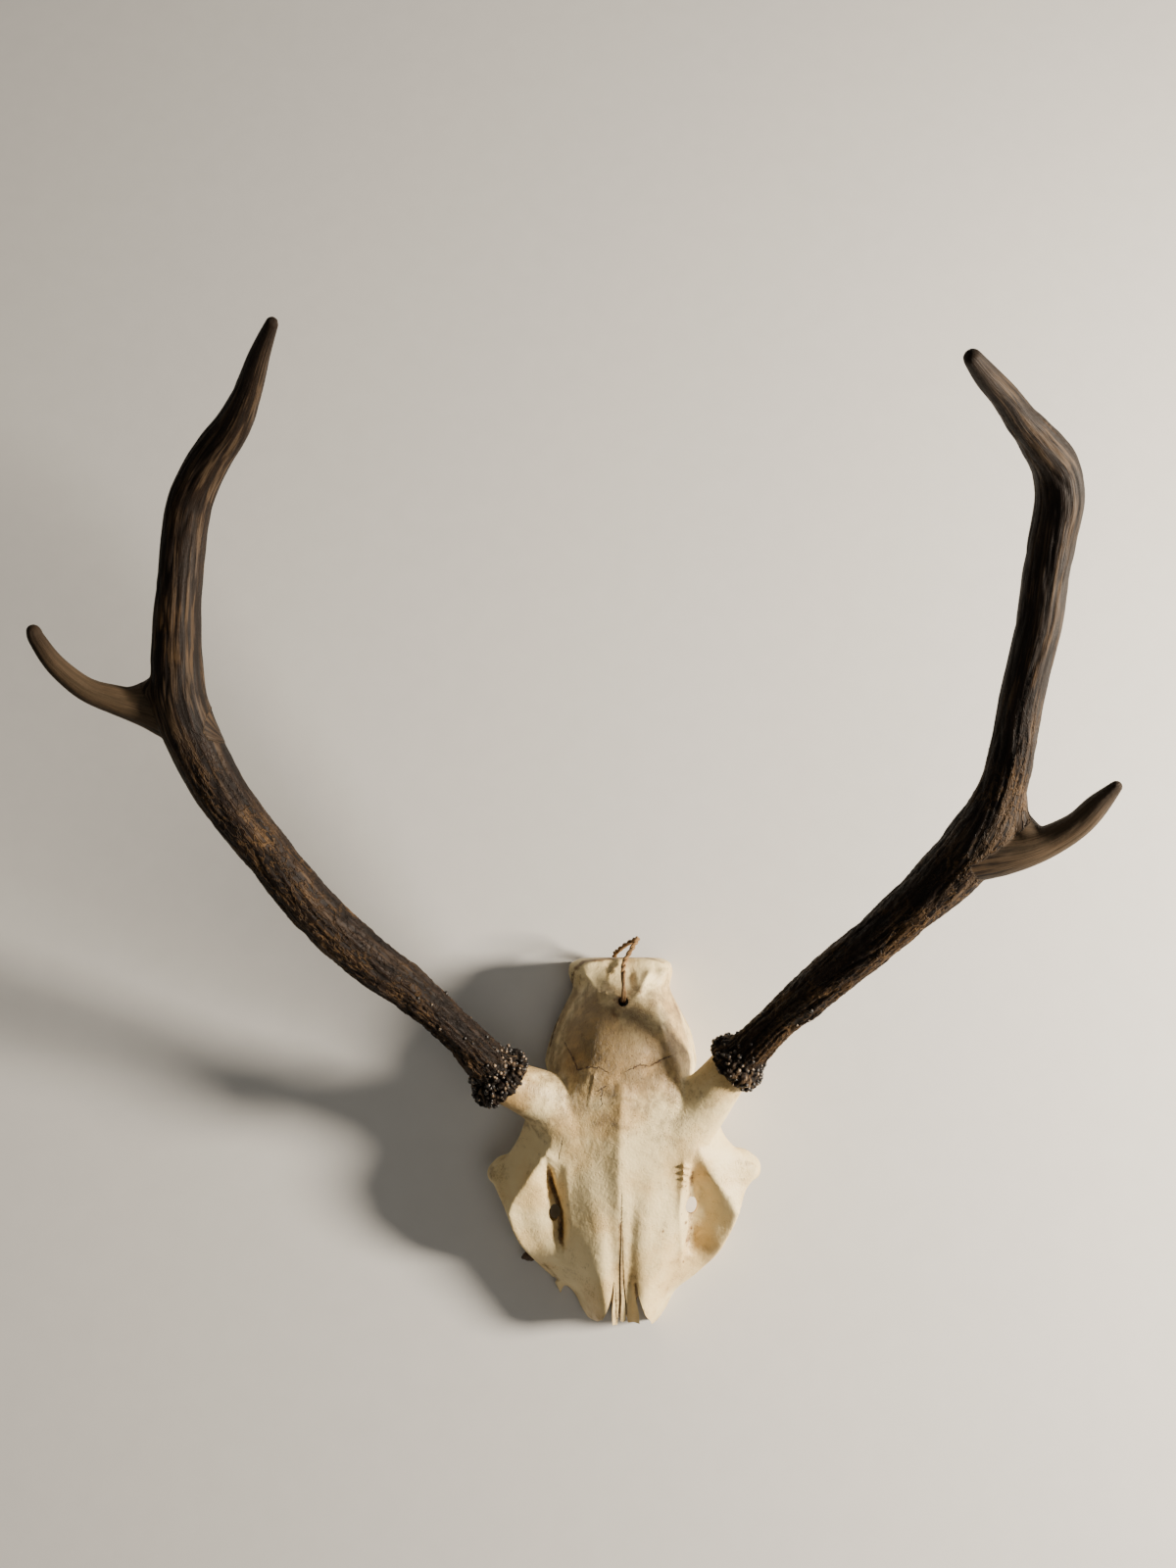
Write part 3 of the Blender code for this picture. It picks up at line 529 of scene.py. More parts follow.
# Paths, depth, half width of the inner wall and of the outer wall
TRENCHES = [
    ([(-44, 94), (-42.4, 88.5), (-41.3, 81.5), (-39.4, 74.6), (-37.4, 69.3), (-36, 62.3), (-36, 55.4),
      (-35.8, 48.5), (-34.5, 40)], 6.6, 1.7, 3.2),
    ([(38.5, 95), (37.6, 88), (37.2, 81.5), (37.2, 74.5), (37.2, 64), (37.4, 54.5), (35.8, 47), (34, 38)],
      5, 1.8, 5.2),
]
TRENCH_END, SHALLOWEST = 0.2, 0.15  # the share of its length over which a trench deepens, and its depth there
ROUGH_BAND = (0.1390, 0.0065)  # y of the middle and half width of the rough band under the coronal seam
BAND_HALF_LENGTH = 0.028
SWELL, SWELL_SIZE = 0.00035, 0.012  # height and size of the slow unevenness
GRAIN, BAND_GRAIN, GRAIN_SIZE = 0.00016, 0.00035, 0.0034  # heights of the fine one, and what the band adds


# %% Move the skin
def bell(values):
    """1 at zero, falling smoothly to both sides."""
    return np.exp(-(values**2))


def torn_edge(points):
    return 0.0007 * ripple(points, 0.0021, 1)


points = read_points(skull.data)
upward = np.clip(read_points(skull.data, "normal")[:, 2] * 2, 0, 1)
x, y = points[:, 0], points[:, 1]
lift = np.zeros(len(points))
for path, half_width, height, power in STROKES:
    away, along = beside(metres(path), x, y)
    ends = np.clip(np.minimum(along, 1 - along) / STROKE_END, 0, 1)
    rise = ends * ends * (3 - 2 * ends)
    lift += metres(height) * rise * np.exp(-np.abs(away / metres(half_width)) ** power)
ragged = torn_edge(points) + 0.0005 * ripple(points, 0.0045, 2)
trench_depth = np.zeros(len(points))
for (path, depth, inner, outer), outward in zip(TRENCHES, (-1, 1)):
    away, along = beside(metres(path), x, y)
    away = away * outward + ragged
    half_width = np.where(away < 0, metres(inner), metres(outer))
    ends = np.clip(np.minimum(along, 1 - along) / TRENCH_END, SHALLOWEST, 1)
    trench_depth += metres(depth) * ends * bell(away / half_width)
band = bell((y - ROUGH_BAND[0]) / ROUGH_BAND[1]) * (np.abs(x) < BAND_HALF_LENGTH)
lift += -trench_depth + SWELL * ripple(points, SWELL_SIZE, 3)
lift += (GRAIN + BAND_GRAIN * band) * ripple(points, GRAIN_SIZE, 4)
points[:, 2] += lift * upward
write_points(skull.data, points)
print("strokes move the skin by", round(lift.min() * 1000, 1), "to", round(lift.max() * 1000, 1), "mm")

# %% [markdown]
# ## Openings, cracks and broken edges
#
# The skull is hollow behind: the braincase, the eye sockets, a sinus behind each small hole over the eyes and
# the two nasal passages. The nose end is broken, with long splits between the nasal bones. All of these are
# cutters, taken away in one Boolean, and last the saw cut makes the back flat.

# %% Where the openings are, in millimetres
DRILLED_HOLE = (-0.4, 180.5, 3, 3)  # x, y, half sizes
FORAMINA = [(-39.5, 64, 3.1, 4.6), (38.1, 67.7, 3.7, 4.9)]
HOLLOWS = {  # centre, half sizes
    "braincase": ((0, 155.5, -0.6), (34.5, 44, 54)),
    "foramen_magnum": ((0, 205, -0.6), (10.5, 20, 15.5)),
    "orbit_left": ((-65.5, 79, -2), (33, 33, 34)),
    "orbit_right": ((65.5, 79, -2), (33, 33, 34)),
    "sinus_left": ((-39, 64, 4), (12, 16, 21.5)),
    "sinus_right": ((38, 67, 4), (12, 16, 22.5)),
    "nasal_left": ((-9.7, 30, -0.6), (6.2, 48, 27)),
    "nasal_right": ((9.7, 30, -0.6), (6.2, 48, 27)),
}
# Splits between and beside the nasal bones, in rows of y, left edge, right edge and depth
SPLITS = [
    [(60, -2.3, -2, 1), (52, -2.5, -1.9, 2), (43.6, -2.9, -2.1, 2.8), (35, -3.2, -2.4, 3.2),
     (26.3, -3.2, -2.3, 3.8), (17.5, -3.1, -1.8, 5), (9, -3.7, -2.1, 7.5), (5, -4, -2.2, 11),
     (-3, -4.4, -2.2, 20)],
    [(56, -1.3, -1.1, 0.8), (43.6, -1.3, -0.9, 2), (35, -1.1, -0.6, 2.6), (26.3, -0.8, -0.2, 3.2),
     (17.5, 0.1, 0.8, 4.4), (9, 0.6, 1.5, 7), (5, 0.7, 1.8, 11), (-3, 0.8, 2.2, 20)],
    [(27.5, -6.3, -6, 1.2), (20, -7.4, -6.2, 4), (13.3, -9.2, -6.8, 8), (8, -11.4, -6.9, 13),
     (4, -13.4, -6.7, 20), (-3, -14.8, -6.4, 24)],
    [(27, 5.8, 6.2, 1.2), (22.1, 6, 7.3, 4), (17.1, 6.4, 8.6, 7), (11.1, 7.7, 10.8, 11), (8, 8.1, 12.2, 15),
     (4, 8.4, 15, 20), (-3, 8.4, 16.6, 24)],
]
# How far each strip of the broken nose reaches: the line below which the bone is gone
BROKEN_END = [
    (-30, 3.6), (-18.5, 3.6), (-15, 4.2), (-13.2, 6), (-7, 2.6), (-6, 3.4), (-4.2, 3), (-2.2, 5.2),
    (-0.8, 4.4), (1, 5.6), (2.4, 4), (5, 5), (8.4, 4.2), (15, 2.4), (16.4, -1),
]
# Small bites out of the thin rim: x, y, half size
RIM_BITES = [
    (53, 35.5, 1.6), (56, 39, 1.2), (58.8, 44, 1.5), (61, 48, 1), (45, 26.8, 1.4), (40, 24, 1.1),
    (65.5, 58, 1), (-40.5, 24, 2), (-33.5, 19, 1.6), (-59, 43, 1), (-65.5, 56, 1.2), (-72, 69, 1),
]

# %% Cut the openings
CUT_TOP, HOLE_FROM, FORAMINA_FROM, BITE_MIDDLE = 0.090, 0.030, 0.010, 0.006  # heights
BURR_BLOCK = 0.030
SAW_CUT = (0.2, -0.1, 0.3, -0.05)  # half width, nearest y, farthest y, lowest z


def split(rows):
    """A cutter along the nose whose floor is a given depth under the midline."""
    rings = []
    for y, left, right, depth in smooth_route(metres(rows), 3):
        floor_z = np.interp(y, SKULL_SECTIONS[:, 0], SKULL_SECTIONS[:, 8]) - depth
        rings.append([(left, y, floor_z), (right, y, floor_z), (right, y, CUT_TOP), (left, y, CUT_TOP)])
    return loft(rings, "split")


def oval(x, y, half_x, half_y, corners=28):
    angles = np.linspace(0, math.tau, corners, endpoint=False)
    return [(x + half_x * math.cos(a), y + half_y * math.sin(a)) for a in angles]


def burr_block(side):
    """What is past the joint between pedicle and antler."""
    middle, way = BURR[side]
    bm = bmesh.new()
    sizes = {"radius1": BURR_BLOCK, "radius2": BURR_BLOCK, "depth": BURR_BLOCK}
    bmesh.ops.create_cone(bm, cap_ends=True, segments=32, **sizes)
    bmesh.ops.transform(bm, matrix=way.to_track_quat("Z", "Y").to_matrix().to_4x4(), verts=bm.verts)
    bmesh.ops.translate(bm, vec=middle + way * (BURR_BLOCK / 2 - 0.0001), verts=bm.verts)
    return object_from(bm, "burr_block")


cutters = [blob(metres(center), metres(sizes), name) for name, (center, sizes) in HOLLOWS.items()]
cutters += [split(rows) for rows in SPLITS]
broken = metres([*BROKEN_END, (16.4, -20), (-30, -20)])
cutters.append(plug(broken, -0.01, CUT_TOP, "broken_end"))
for x, y, size in metres(RIM_BITES):
    cutters.append(blob((x, y, BITE_MIDDLE), (size, size, 0.020), "bite", 2))
cutters.append(plug(oval(*metres(DRILLED_HOLE)), HOLE_FROM, CUT_TOP, "drilled_hole"))
cutters += [plug(oval(*foramen), FORAMINA_FROM, CUT_TOP, "foramen") for foramen in metres(FORAMINA)]
cutters += [burr_block(side) for side in BURR]
half, near, far, lowest = SAW_CUT
cutters.append(plug([(-half, near), (half, near), (half, far), (-half, far)], lowest, 0.0, "saw_cut"))
carve(skull, cutters)
print("skull after cutting:", len(skull.data.vertices), "points")

# %% [markdown]
# ## Where the bone is stained, and where shadow is painted
#
# Old bone is darkest where dirt gathers: in the trenches, along the seams between the bones, at the drilled
# hole and on broken edges. Colour that follows the shape can't come from noise alone, so each point of the
# skin stores a few numbers as attributes, and the material reads them. A seam is stored as a signed distance,
# which passes evenly through zero, so its line stays sharp between the points. The tan on the braincase is
# partly painted shadow: a darker patch across its middle paints the right coronet's cast shadow, and its right
# side is painted paler, as lit.

# %% Stains, pits and seams
# Paths of (x, y), half width, strength
STAINS = [
    ([(-0.4, 180.5), (-0.4, 180.6)], 5, 0.9),
    ([(-5.5, 181.3), (-5.4, 181.2)], 1, 0.8),
    ([(-6.8, 175.5), (-4.8, 171.5)], 2, 0.66),
    ([(-4.1, 169.9), (-4, 169.8)], 1.1, 0.75),
    ([(4, 171.5), (5.6, 170.5)], 1.4, 0.62),
    ([(7.5, 159), (7.6, 158.9)], 1, 0.6),
    ([(-29, 150), (-26.4, 143), (-19.6, 144.5)], 1.6, 0.6),
    ([(6, 144), (13.5, 145), (19, 147)], 2.2, 0.55),
    ([(-28, 200.5), (-23, 204.5), (-10, 206), (0, 207)], 1.6, 0.8),
    ([(0, 207.8), (12, 207.8), (24, 204)], 1.3, 0.7),
    ([(-26.5, 200), (-12, 201.2), (-2, 200.5)], 1.2, 0.5),
    ([(-29, 198.5), (-30, 190), (-37, 176), (-41.5, 164), (-43, 156)], 1.2, 0.66),
    ([(-22.2, 194.5), (-18, 189.5), (-14, 186.8), (-9, 184.5)], 2.2, 0.52),
    ([(14, 190), (11, 186.5), (5, 183.5)], 2, 0.48),
    ([(29.5, 183), (34, 174)], 1.6, 0.6),
    ([(19, 173.5), (21, 164)], 1.8, 0.45),
    ([(21.2, 55.2), (21.2, 55.1)], 0.8, 1),
    ([(-2.4, 59), (-2.8, 43.6), (-2.7, 26.3), (-2.6, 2)], 1.6, 0.7),
    ([(-1.2, 52), (-0.8, 35), (0.5, 17.5), (1.2, 2)], 1.3, 0.6),
    ([(-5.3, 19.3), (-4.9, 13.3), (-4.6, 5)], 1, 0.6),
    ([(-33, 33), (-28, 30)], 2.2, 0.45),
    ([(-46, 34.5), (-41, 29), (-37.5, 24)], 1.6, 0.6),
    ([(6, 26), (7, 17), (9.6, 10)], 1.4, 0.75),
    ([(-13, 6), (-9, 14), (-6.6, 22)], 1.2, 0.55),
    ([(74.5, 89), (70, 90)], 5, 0.42),
    ([(-75.5, 85), (-71, 85)], 6, 0.5),
]
# Small dark pits: x, y, radius
PITS = [
    (34.6, 58.9, 1), (31.8, 64, 0.8), (35.7, 47.8, 1), (38.6, 54.5, 0.9), (33.5, 36.6, 0.9),
    (34, 79.5, 0.9), (34.8, 76.8, 0.7), (38.2, 86.5, 1),
]
# Jagged seams between bones, and hair cracks
SEAMS = [
    [(-33.5, 157), (-30.9, 152.4), (-28.4, 148.4), (-26.4, 142.6), (-19.6, 144.2), (-14, 143.8),
     (-10, 141.5)],
    [(1.4, 142.3), (7.9, 145.4), (13.5, 144.6), (20.9, 148.4), (25.6, 150)],
    [(-11, 133.8), (-15.6, 131.1)],
    [(-12.4, 132), (-13.6, 126.9), (-12.8, 124.5), (-14, 122.5)],
    [(-1.9, 76), (-2.1, 60)],
    [(-34.5, 106), (-36.8, 95)],
    [(-5.3, 23), (-4.9, 13.3), (-4.6, 5)],
    [(-30, 198), (-30, 190), (-36.5, 176), (-41, 164), (-42.8, 156)],
]
SEAM_REACH = 0.0025  # a seam is drawn on the points this close to it
TRENCH_DARKNESS = (0.8, 0.46)  # of the left one and the right one
SAWN_EDGE, BURR_GLOW, NOSE_EDGE = 0.009, 0.026, 0.035  # how far honey colour reaches from each
# The middle y is where the tan is deepest: the painted shadow of the right coronet across the braincase.
FOREHEAD, PAINTED_SHADOW_Y, BACK_FROM = 0.088, 0.158, 0.186  # y where the tan starts, is deepest and fades


# %% Store them on the skull
def skull_marks(points):
    """The attributes of bone at each point."""
    x, y, z = points.T
    stain = np.zeros(len(points))
    for path, half_width, strength in STAINS:
        away, _ = beside(metres(path), x, y)
        stain = np.maximum(stain, strength * bell(away / metres(half_width)))
    for pit_x, pit_y, radius in metres(PITS):
        stain = np.maximum(stain, np.exp(-(((x - pit_x) ** 2 + (y - pit_y) ** 2) / radius**2)))
    trench = np.zeros(len(points))
    ragged = torn_edge(points)
    for (path, _, inner, outer), outward, darkness in zip(TRENCHES, (-1, 1), TRENCH_DARKNESS):
        away, along = beside(metres(path), x, y)
        away = away * outward + ragged
        ends = darkness * np.clip(np.minimum(along, 1 - along) * 6, 0, 1)
        walls = np.where(away < 0, metres(inner) * 1.1, metres(outer) * 0.50)
        trench = np.maximum(trench, ends * bell(away / walls))
    nearest = np.full(len(points), np.inf)
    for path in SEAMS:
        away, _ = beside(metres(path), x, y)
        nearest = np.where(np.abs(away) < np.abs(nearest), away, nearest)
    near = np.clip(1.6 - np.abs(nearest) / SEAM_REACH, 0, 1)
    honey = 0.75 * bell(z / (SAWN_EDGE + 0.006 * ripple(points, 0.014, 7)))
    for middle, _ in BURR.values():
        honey = np.maximum(honey, 0.8 * bell(np.linalg.norm(points - middle, axis=1) / BURR_GLOW))
    outward = 0.5 + np.clip(np.abs(x) / 0.03, 0, 0.5)
    honey = np.maximum(honey, np.clip((NOSE_EDGE - y) / 0.05, 0, 0.55) * outward)
    tan_and_shadow = np.clip((y - FOREHEAD) / 0.045, 0, 1)
    # Less tan on the right of the forehead and braincase: painted light, as on the side that faces the lamp.
    tan_and_shadow *= np.where(x > 0.020, np.clip(1.6 - x / 0.035, 0.3, 1), 1)
    # A darker tan patch across the middle of the braincase: the right coronet's cast shadow, painted.
    tan_and_shadow += 0.7 * bell((y - PAINTED_SHADOW_Y) / 0.014) * bell((x + 0.006) / 0.022)
    tan_and_shadow = np.where(y > BACK_FROM, tan_and_shadow * np.clip(1 - (y - BACK_FROM) / 0.012, 0.25, 1), tan_and_shadow)
    marks = {"stain": stain, "trench": trench, "honey": honey, "tan_and_shadow": tan_and_shadow}
    return marks | {"seam": np.clip(nearest, -0.01, 0.01), "seam_near": near}


for name, values in skull_marks(read_points(skull.data)).items():
    write_attribute(skull.data, name, values)

# %% [markdown]
# ## Bone
#
# Dry bone is cream with tan clouds, grey in patches, honey-coloured where it is thin or greasy, and full of
# tiny pores. Noise at three sizes gives the clouds, Voronoi cells the pores, and the stored attributes the
# dirt, and the tan that also paints the right coronet's shadow across the braincase. The same masks drive a
# shallow bump, so that pores and seams catch the light.

# %% Bone
IVORY, CREAM, TAN = tone(0.83, 0.67, 0.36), tone(0.75, 0.55, 0.25), tone(0.45, 0.285, 0.115)
HONEY, BROWN, DIRT = tone(0.50, 0.315, 0.105), tone(0.20, 0.105, 0.038), tone(0.035, 0.018, 0.009)
OLIVE = tone(0.23, 0.175, 0.090)

bone = Look("bone", 0.5)
clouds = bone.noise(bone.place, 30.0, 5.0)
mottle = bone.noise(bone.place, 130.0, 4.0, 0.6)
fine = bone.noise(bone.place, 700.0, 3.0)
tan_and_shadow = bone.attribute("tan_and_shadow")
bone.color = bone.blend(clouds.rise(0.40, 0.62), IVORY, CREAM)
# Tan clouds, deeper where the stored tan paints the right coronet's shadow on the braincase.
bone.coat((clouds + mottle * 0.35 + tan_and_shadow * 0.30).rise(0.74, 1.12), TAN)
# Olive in random patches, and more where the stored tan paints shadow on the braincase.
olive_mask = (mottle + tan_and_shadow * 0.30).rise(0.58, 0.98)
bone.coat(olive_mask * 0.62, OLIVE)
honey_mask = (bone.attribute("honey") + (mottle - 0.5) * 0.8).rise(0.25, 0.95) * 0.8
bone.coat(honey_mask, HONEY)
stain_mask = (bone.attribute("stain") + (mottle - 0.5) * 0.7 + (fine - 0.5) * 0.5).rise(0.28, 0.85)
bone.coat(stain_mask * 0.88, BROWN)
trench = bone.attribute("trench") + (fine - 0.5) * 0.5 + (mottle - 0.5) * 0.5
bone.coat(trench.rise(0.22, 0.55) * 0.85, BROWN)
bone.coat(trench.rise(0.60, 0.92) * 0.9, DIRT)
wander = (bone.noise(bone.place, 950.0, 2.0) - 0.5) * 0.0022
seam_line = abs(bone.attribute("seam") + wander).rise(0.00045, 0.0001) * bone.attribute("seam_near")
bone.coat(seam_line * mottle.rise(0.30, 0.50) * 0.8, DIRT)
pore_field = (bone.noise(bone.place, 60.0, 2.0) + tan_and_shadow * 0.10).rise(0.48, 0.66)
pores = bone.spots(bone.place, 900.0).rise(0.30, 0.10) * pore_field
bone.coat(pores * 0.6, BROWN)
scratch_noise = bone.noise(bone.stretched(bone.place, (1.0, 0.16, 0.4)), 900.0, 2.0)
scratches = abs(scratch_noise - 0.5).rise(0.020, 0.004) * (mottle + tan_and_shadow * 0.10).rise(0.52, 0.66)
bone.coat(scratches * 0.55, BROWN)
bone_height = fine * 0.40 + mottle * 0.6 - pores * 0.5 - seam_line * 0.9
bone_height = bone_height - scratches * 0.35 - trench.rise(0.3, 0.8) * 0.3
bone.feed(bone.shader.inputs["Roughness"], 0.42 + mottle * 0.22)
bone_material = bone.finish(bone.color, bone_height, 0.0008, 0.9)
show(skull, bone_material, sharp_degrees=42)
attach(skull, "root")
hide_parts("skull")

# %% [markdown]
# ## The dried scrap
#
# A crumpled scrap of dried skin is left on the left edge. It is a torn flake, so it is a small blob that
# ripples push out of shape.

# %% Dried scrap
scrap = blob((-0.0545, 0.0370, 0.0100), (0.0045, 0.0028, 0.0022), "dried_scrap")
scrap_points = read_points(scrap.data)
scrap_points += read_points(scrap.data, "normal") * (0.0009 * ripple(scrap_points, 0.0018, 5))[:, None]
write_points(scrap.data, scrap_points)
scrap_look = Look("dried_skin", 0.6)
scrap_noise = scrap_look.noise(scrap_look.place, 500.0, 4.0)
scrap_color = scrap_look.blend(scrap_noise, tone(0.035, 0.020, 0.012), tone(0.12, 0.07, 0.035))
show(scrap, scrap_look.finish(scrap_color, scrap_noise, 0.0006))
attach(scrap, "root")

# %% [markdown]
# ## The antlers
#
# An antler is one grown piece: a knobbly ring at its foot, the coronet, then a beam with long gutters that
# blood vessels left, and a tine. The solids part it at the fork, but here beam and tine melt into one skin
# with a rounded web in the crotch. A number for how far along it each point is, and an angle for where it is
# round it, let both the carving and the colour run lengthwise.

# %% Routes of the antlers
# x, y, z and radius, in millimetres, from just above the burr to the tip
BEAM_ROUTE = {
    "left": metres([
        (-74, 144.5, 71, 12.2), (-93, 165, 88, 9.9), (-116.3, 186, 108, 11.5), (-133.3, 198.5, 122, 12.2),
        (-157.2, 221, 144, 12.1), (-179.7, 250, 168, 11.6), (-194.5, 270.2, 183, 12.3),
        (-205, 291, 196, 12.8), (-211.5, 309.7, 207, 13), (-212.5, 325.6, 213, 11.9),
        (-211.2, 347, 222, 10.8), (-208.8, 367.3, 229, 10.2), (-206, 384.1, 236, 10.1),
        (-200.5, 399, 245, 9.7), (-188.5, 411.5, 258, 8.8), (-175.2, 419, 272, 7.5),
        (-165, 424.6, 288, 5.9), (-154.6, 430.1, 308, 4.2), (-145.6, 433.3, 324, 2.6),
    ]),
    "right": metres([
        (66.5, 151.5, 71, 11.5), (80.8, 167.2, 88, 9.6), (93, 179, 104, 11), (106.6, 192, 121, 11.5),
        (123.7, 206.6, 138, 11.8), (142, 223.6, 155, 12.5), (157, 239, 169, 14.2), (169, 255, 181, 14.2),
        (176.3, 273, 190, 11.3), (179.8, 290.4, 199, 10.5), (181.5, 308.5, 208, 10.1),
        (183.6, 323.6, 216, 10), (186.8, 343, 225.5, 10.3), (188.1, 363.8, 236, 10.3),
        (189.7, 380.4, 245, 10.5), (190, 393.5, 254, 10.6), (184.8, 403.8, 264, 9.8),
        (170.7, 409, 280, 7.7), (161.1, 411.5, 290, 6.5), (150.5, 414.5, 302, 5.5), (140, 416.3, 313, 4.9),
        (130.5, 418, 324, 3.6),
    ]),
}
TINE_ROUTE = {
    "left": metres([
        (-204, 301, 199, 12.5), (-219, 307, 203, 10.8), (-229, 309.8, 206, 8.8), (-240, 312, 211, 7.1),
        (-252.3, 315.4, 218, 5.6), (-263.2, 324, 226, 4.7), (-270, 334, 232, 3.8),
        (-271.2, 337.5, 234, 3.3),
    ]),
    "right": metres([
        (164, 244, 176, 12.5), (176.7, 245, 180, 11.2), (187, 246.2, 184, 9.2), (197.5, 249.5, 188, 7.6),
        (208.5, 255.5, 194, 6.4), (216.5, 263.5, 199, 5.6), (224.5, 272, 205, 3),
    ]),
}
WEB_ROUTE = {
    "left": metres([
        (-211.5, 332.5, 216, 8.5), (-218, 319.5, 212, 7.5), (-231.5, 312.5, 209, 7.2),
        (-246, 312.5, 214, 5.2),
    ]),
    "right": metres([
        (179, 272.5, 191, 8.5), (183, 260, 186, 7.8), (193, 250, 186, 7.2), (204.5, 252.5, 192, 5.8),
    ]),
}
ROUTE_STEPS = 6
ANTLER_VOXEL, ANTLER_SOFTENING = 0.00078, 3

# %% [markdown]
# ## Coronets
#
# The coronet is a collar with rows of blunt knobs that point outwards and slightly up the beam. The knobs
# melt into the antler, because on the real one they grow out of it.

# %% Coronets
CORONET_RADIUS = {"left": (0.0180, 0.0165), "right": (0.0162, 0.0152)}
COLLAR_RINGS = [(0.0, 0.80), (0.002, 0.90), (0.007, 0.84), (0.012, 0.64)]  # lift, share of the radius
# Rows of knobs: lift, share of the radius, count
KNOB_ROWS = [(0.0020, 0.96, 30), (0.0052, 0.99, 30), (0.0084, 0.91, 27), (0.0114, 0.77, 22)]
KNOB_SIZE = 0.0017
KNOB_ROOT = 0.88  # share of the knob row's radius where a knob starts
KNOB_SHIFT = (-0.20, 0.20)  # how far a knob may stray round the ring, as a share of the gap
KNOB_REACH, KNOB_RISE = (0.0010, 0.0020), (-0.0002, 0.0006)


def coronet(side, rng):
    middle, way = BURR[side]
    across, back = CORONET_RADIUS[side]
    u = way.cross(Vector((0, 0, 1))).normalized()
    v = way.cross(u)

    def spoke(angle):
        return u * (across * math.cos(angle)) + v * (back * math.sin(angle))

    def ring(lift, share):
        angles = np.linspace(0, math.tau, 40, endpoint=False)
        return [middle + way * lift + spoke(a) * share for a in angles]

    pieces = [loft([ring(lift, share) for lift, share in COLLAR_RINGS], "collar")]
    for lift, share, count in KNOB_ROWS:
        for i in range(count):
            outward = spoke(math.tau * (i + rng.uniform(*KNOB_SHIFT)) / count)
            foot = middle + way * (lift + rng.normal(0, 0.0004)) + outward * (share * KNOB_ROOT)
            top = foot + outward.normalized() * rng.uniform(*KNOB_REACH)
            top += way * rng.uniform(*KNOB_RISE)
            size = KNOB_SIZE * rng.uniform(0.7, 1.15)
            knob = [(*foot, size), (*((foot + top) / 2), size), (*top, size * 0.8)]
            pieces.append(rod(knob, 2, 10, "knob"))
    return pieces


# %% [markdown]
# ## Gutters and pearls
#
# Real gutters are narrow furrows that run along the beam and sometimes join. Noise that is stretched along
# the beam has such lines where it passes through zero, so the skin is pushed in there. Low on the beam a
# finer ripple adds the rough, pearly bark, which fades towards the smooth upper half.

# %% Sizes of gutters, bark and worn places
GUTTER_DEPTH, GUTTER_SIZE, GUTTER_STRETCH = 0.0010, 0.0046, 0.11
BARK_HEIGHT, BARK_SIZE, BARK_STRETCH = 0.00065, 0.0023, 0.40
SWELLING, SWELLING_SIZE = 0.0003, 0.010
SMOOTH_FROM = 0.27  # metres along the beam where the bark has faded
GRAIN_RADIUS = 0.011  # the grain runs on a straight rod of this radius
BURR_REACH, TIP_REACH, FORK_REACH, END_TAPER = 0.021, 0.016, 0.024, 0.06
# Which way the golden, rubbed side of each beam faces
RUBBED_SIDE = {"left": (-0.80, -0.50, 0.10), "right": (0.70, -0.60, 0.30)}


def far_from(points, place):
    return np.linalg.norm(points - np.array(place), axis=1)


# %% Measure and carve an antler
def along_and_around(points, side):
    """Each point's place along the antler, its direction round it, and whether it is on the tine."""
    best = np.full(len(points), np.inf)
    along, angle, on_tine = np.zeros(len(points)), np.zeros(len(points)), np.zeros(len(points))
    for tine, route in ((0.0, BEAM_ROUTE[side]), (1.0, TINE_ROUTE[side])):
        smooth = smooth_route(route, ROUTE_STEPS)
        steps = np.linalg.norm(np.diff(smooth[:, :3], axis=0), axis=1)
        travelled = np.concatenate([[0], np.cumsum(steps)])
        for (middle, u, v, way, radius), reached in zip(ring_frames(smooth), travelled):
            offset = points - middle
            away = np.linalg.norm(offset, axis=1) - radius
            nearer = away < best
            best = np.where(nearer, away, best)
            along = np.where(nearer, reached + offset @ way, along)
            angle = np.where(nearer, np.arctan2(offset @ v, offset @ u), angle)
            on_tine = np.where(nearer, tine, on_tine)
    return along, angle, on_tine


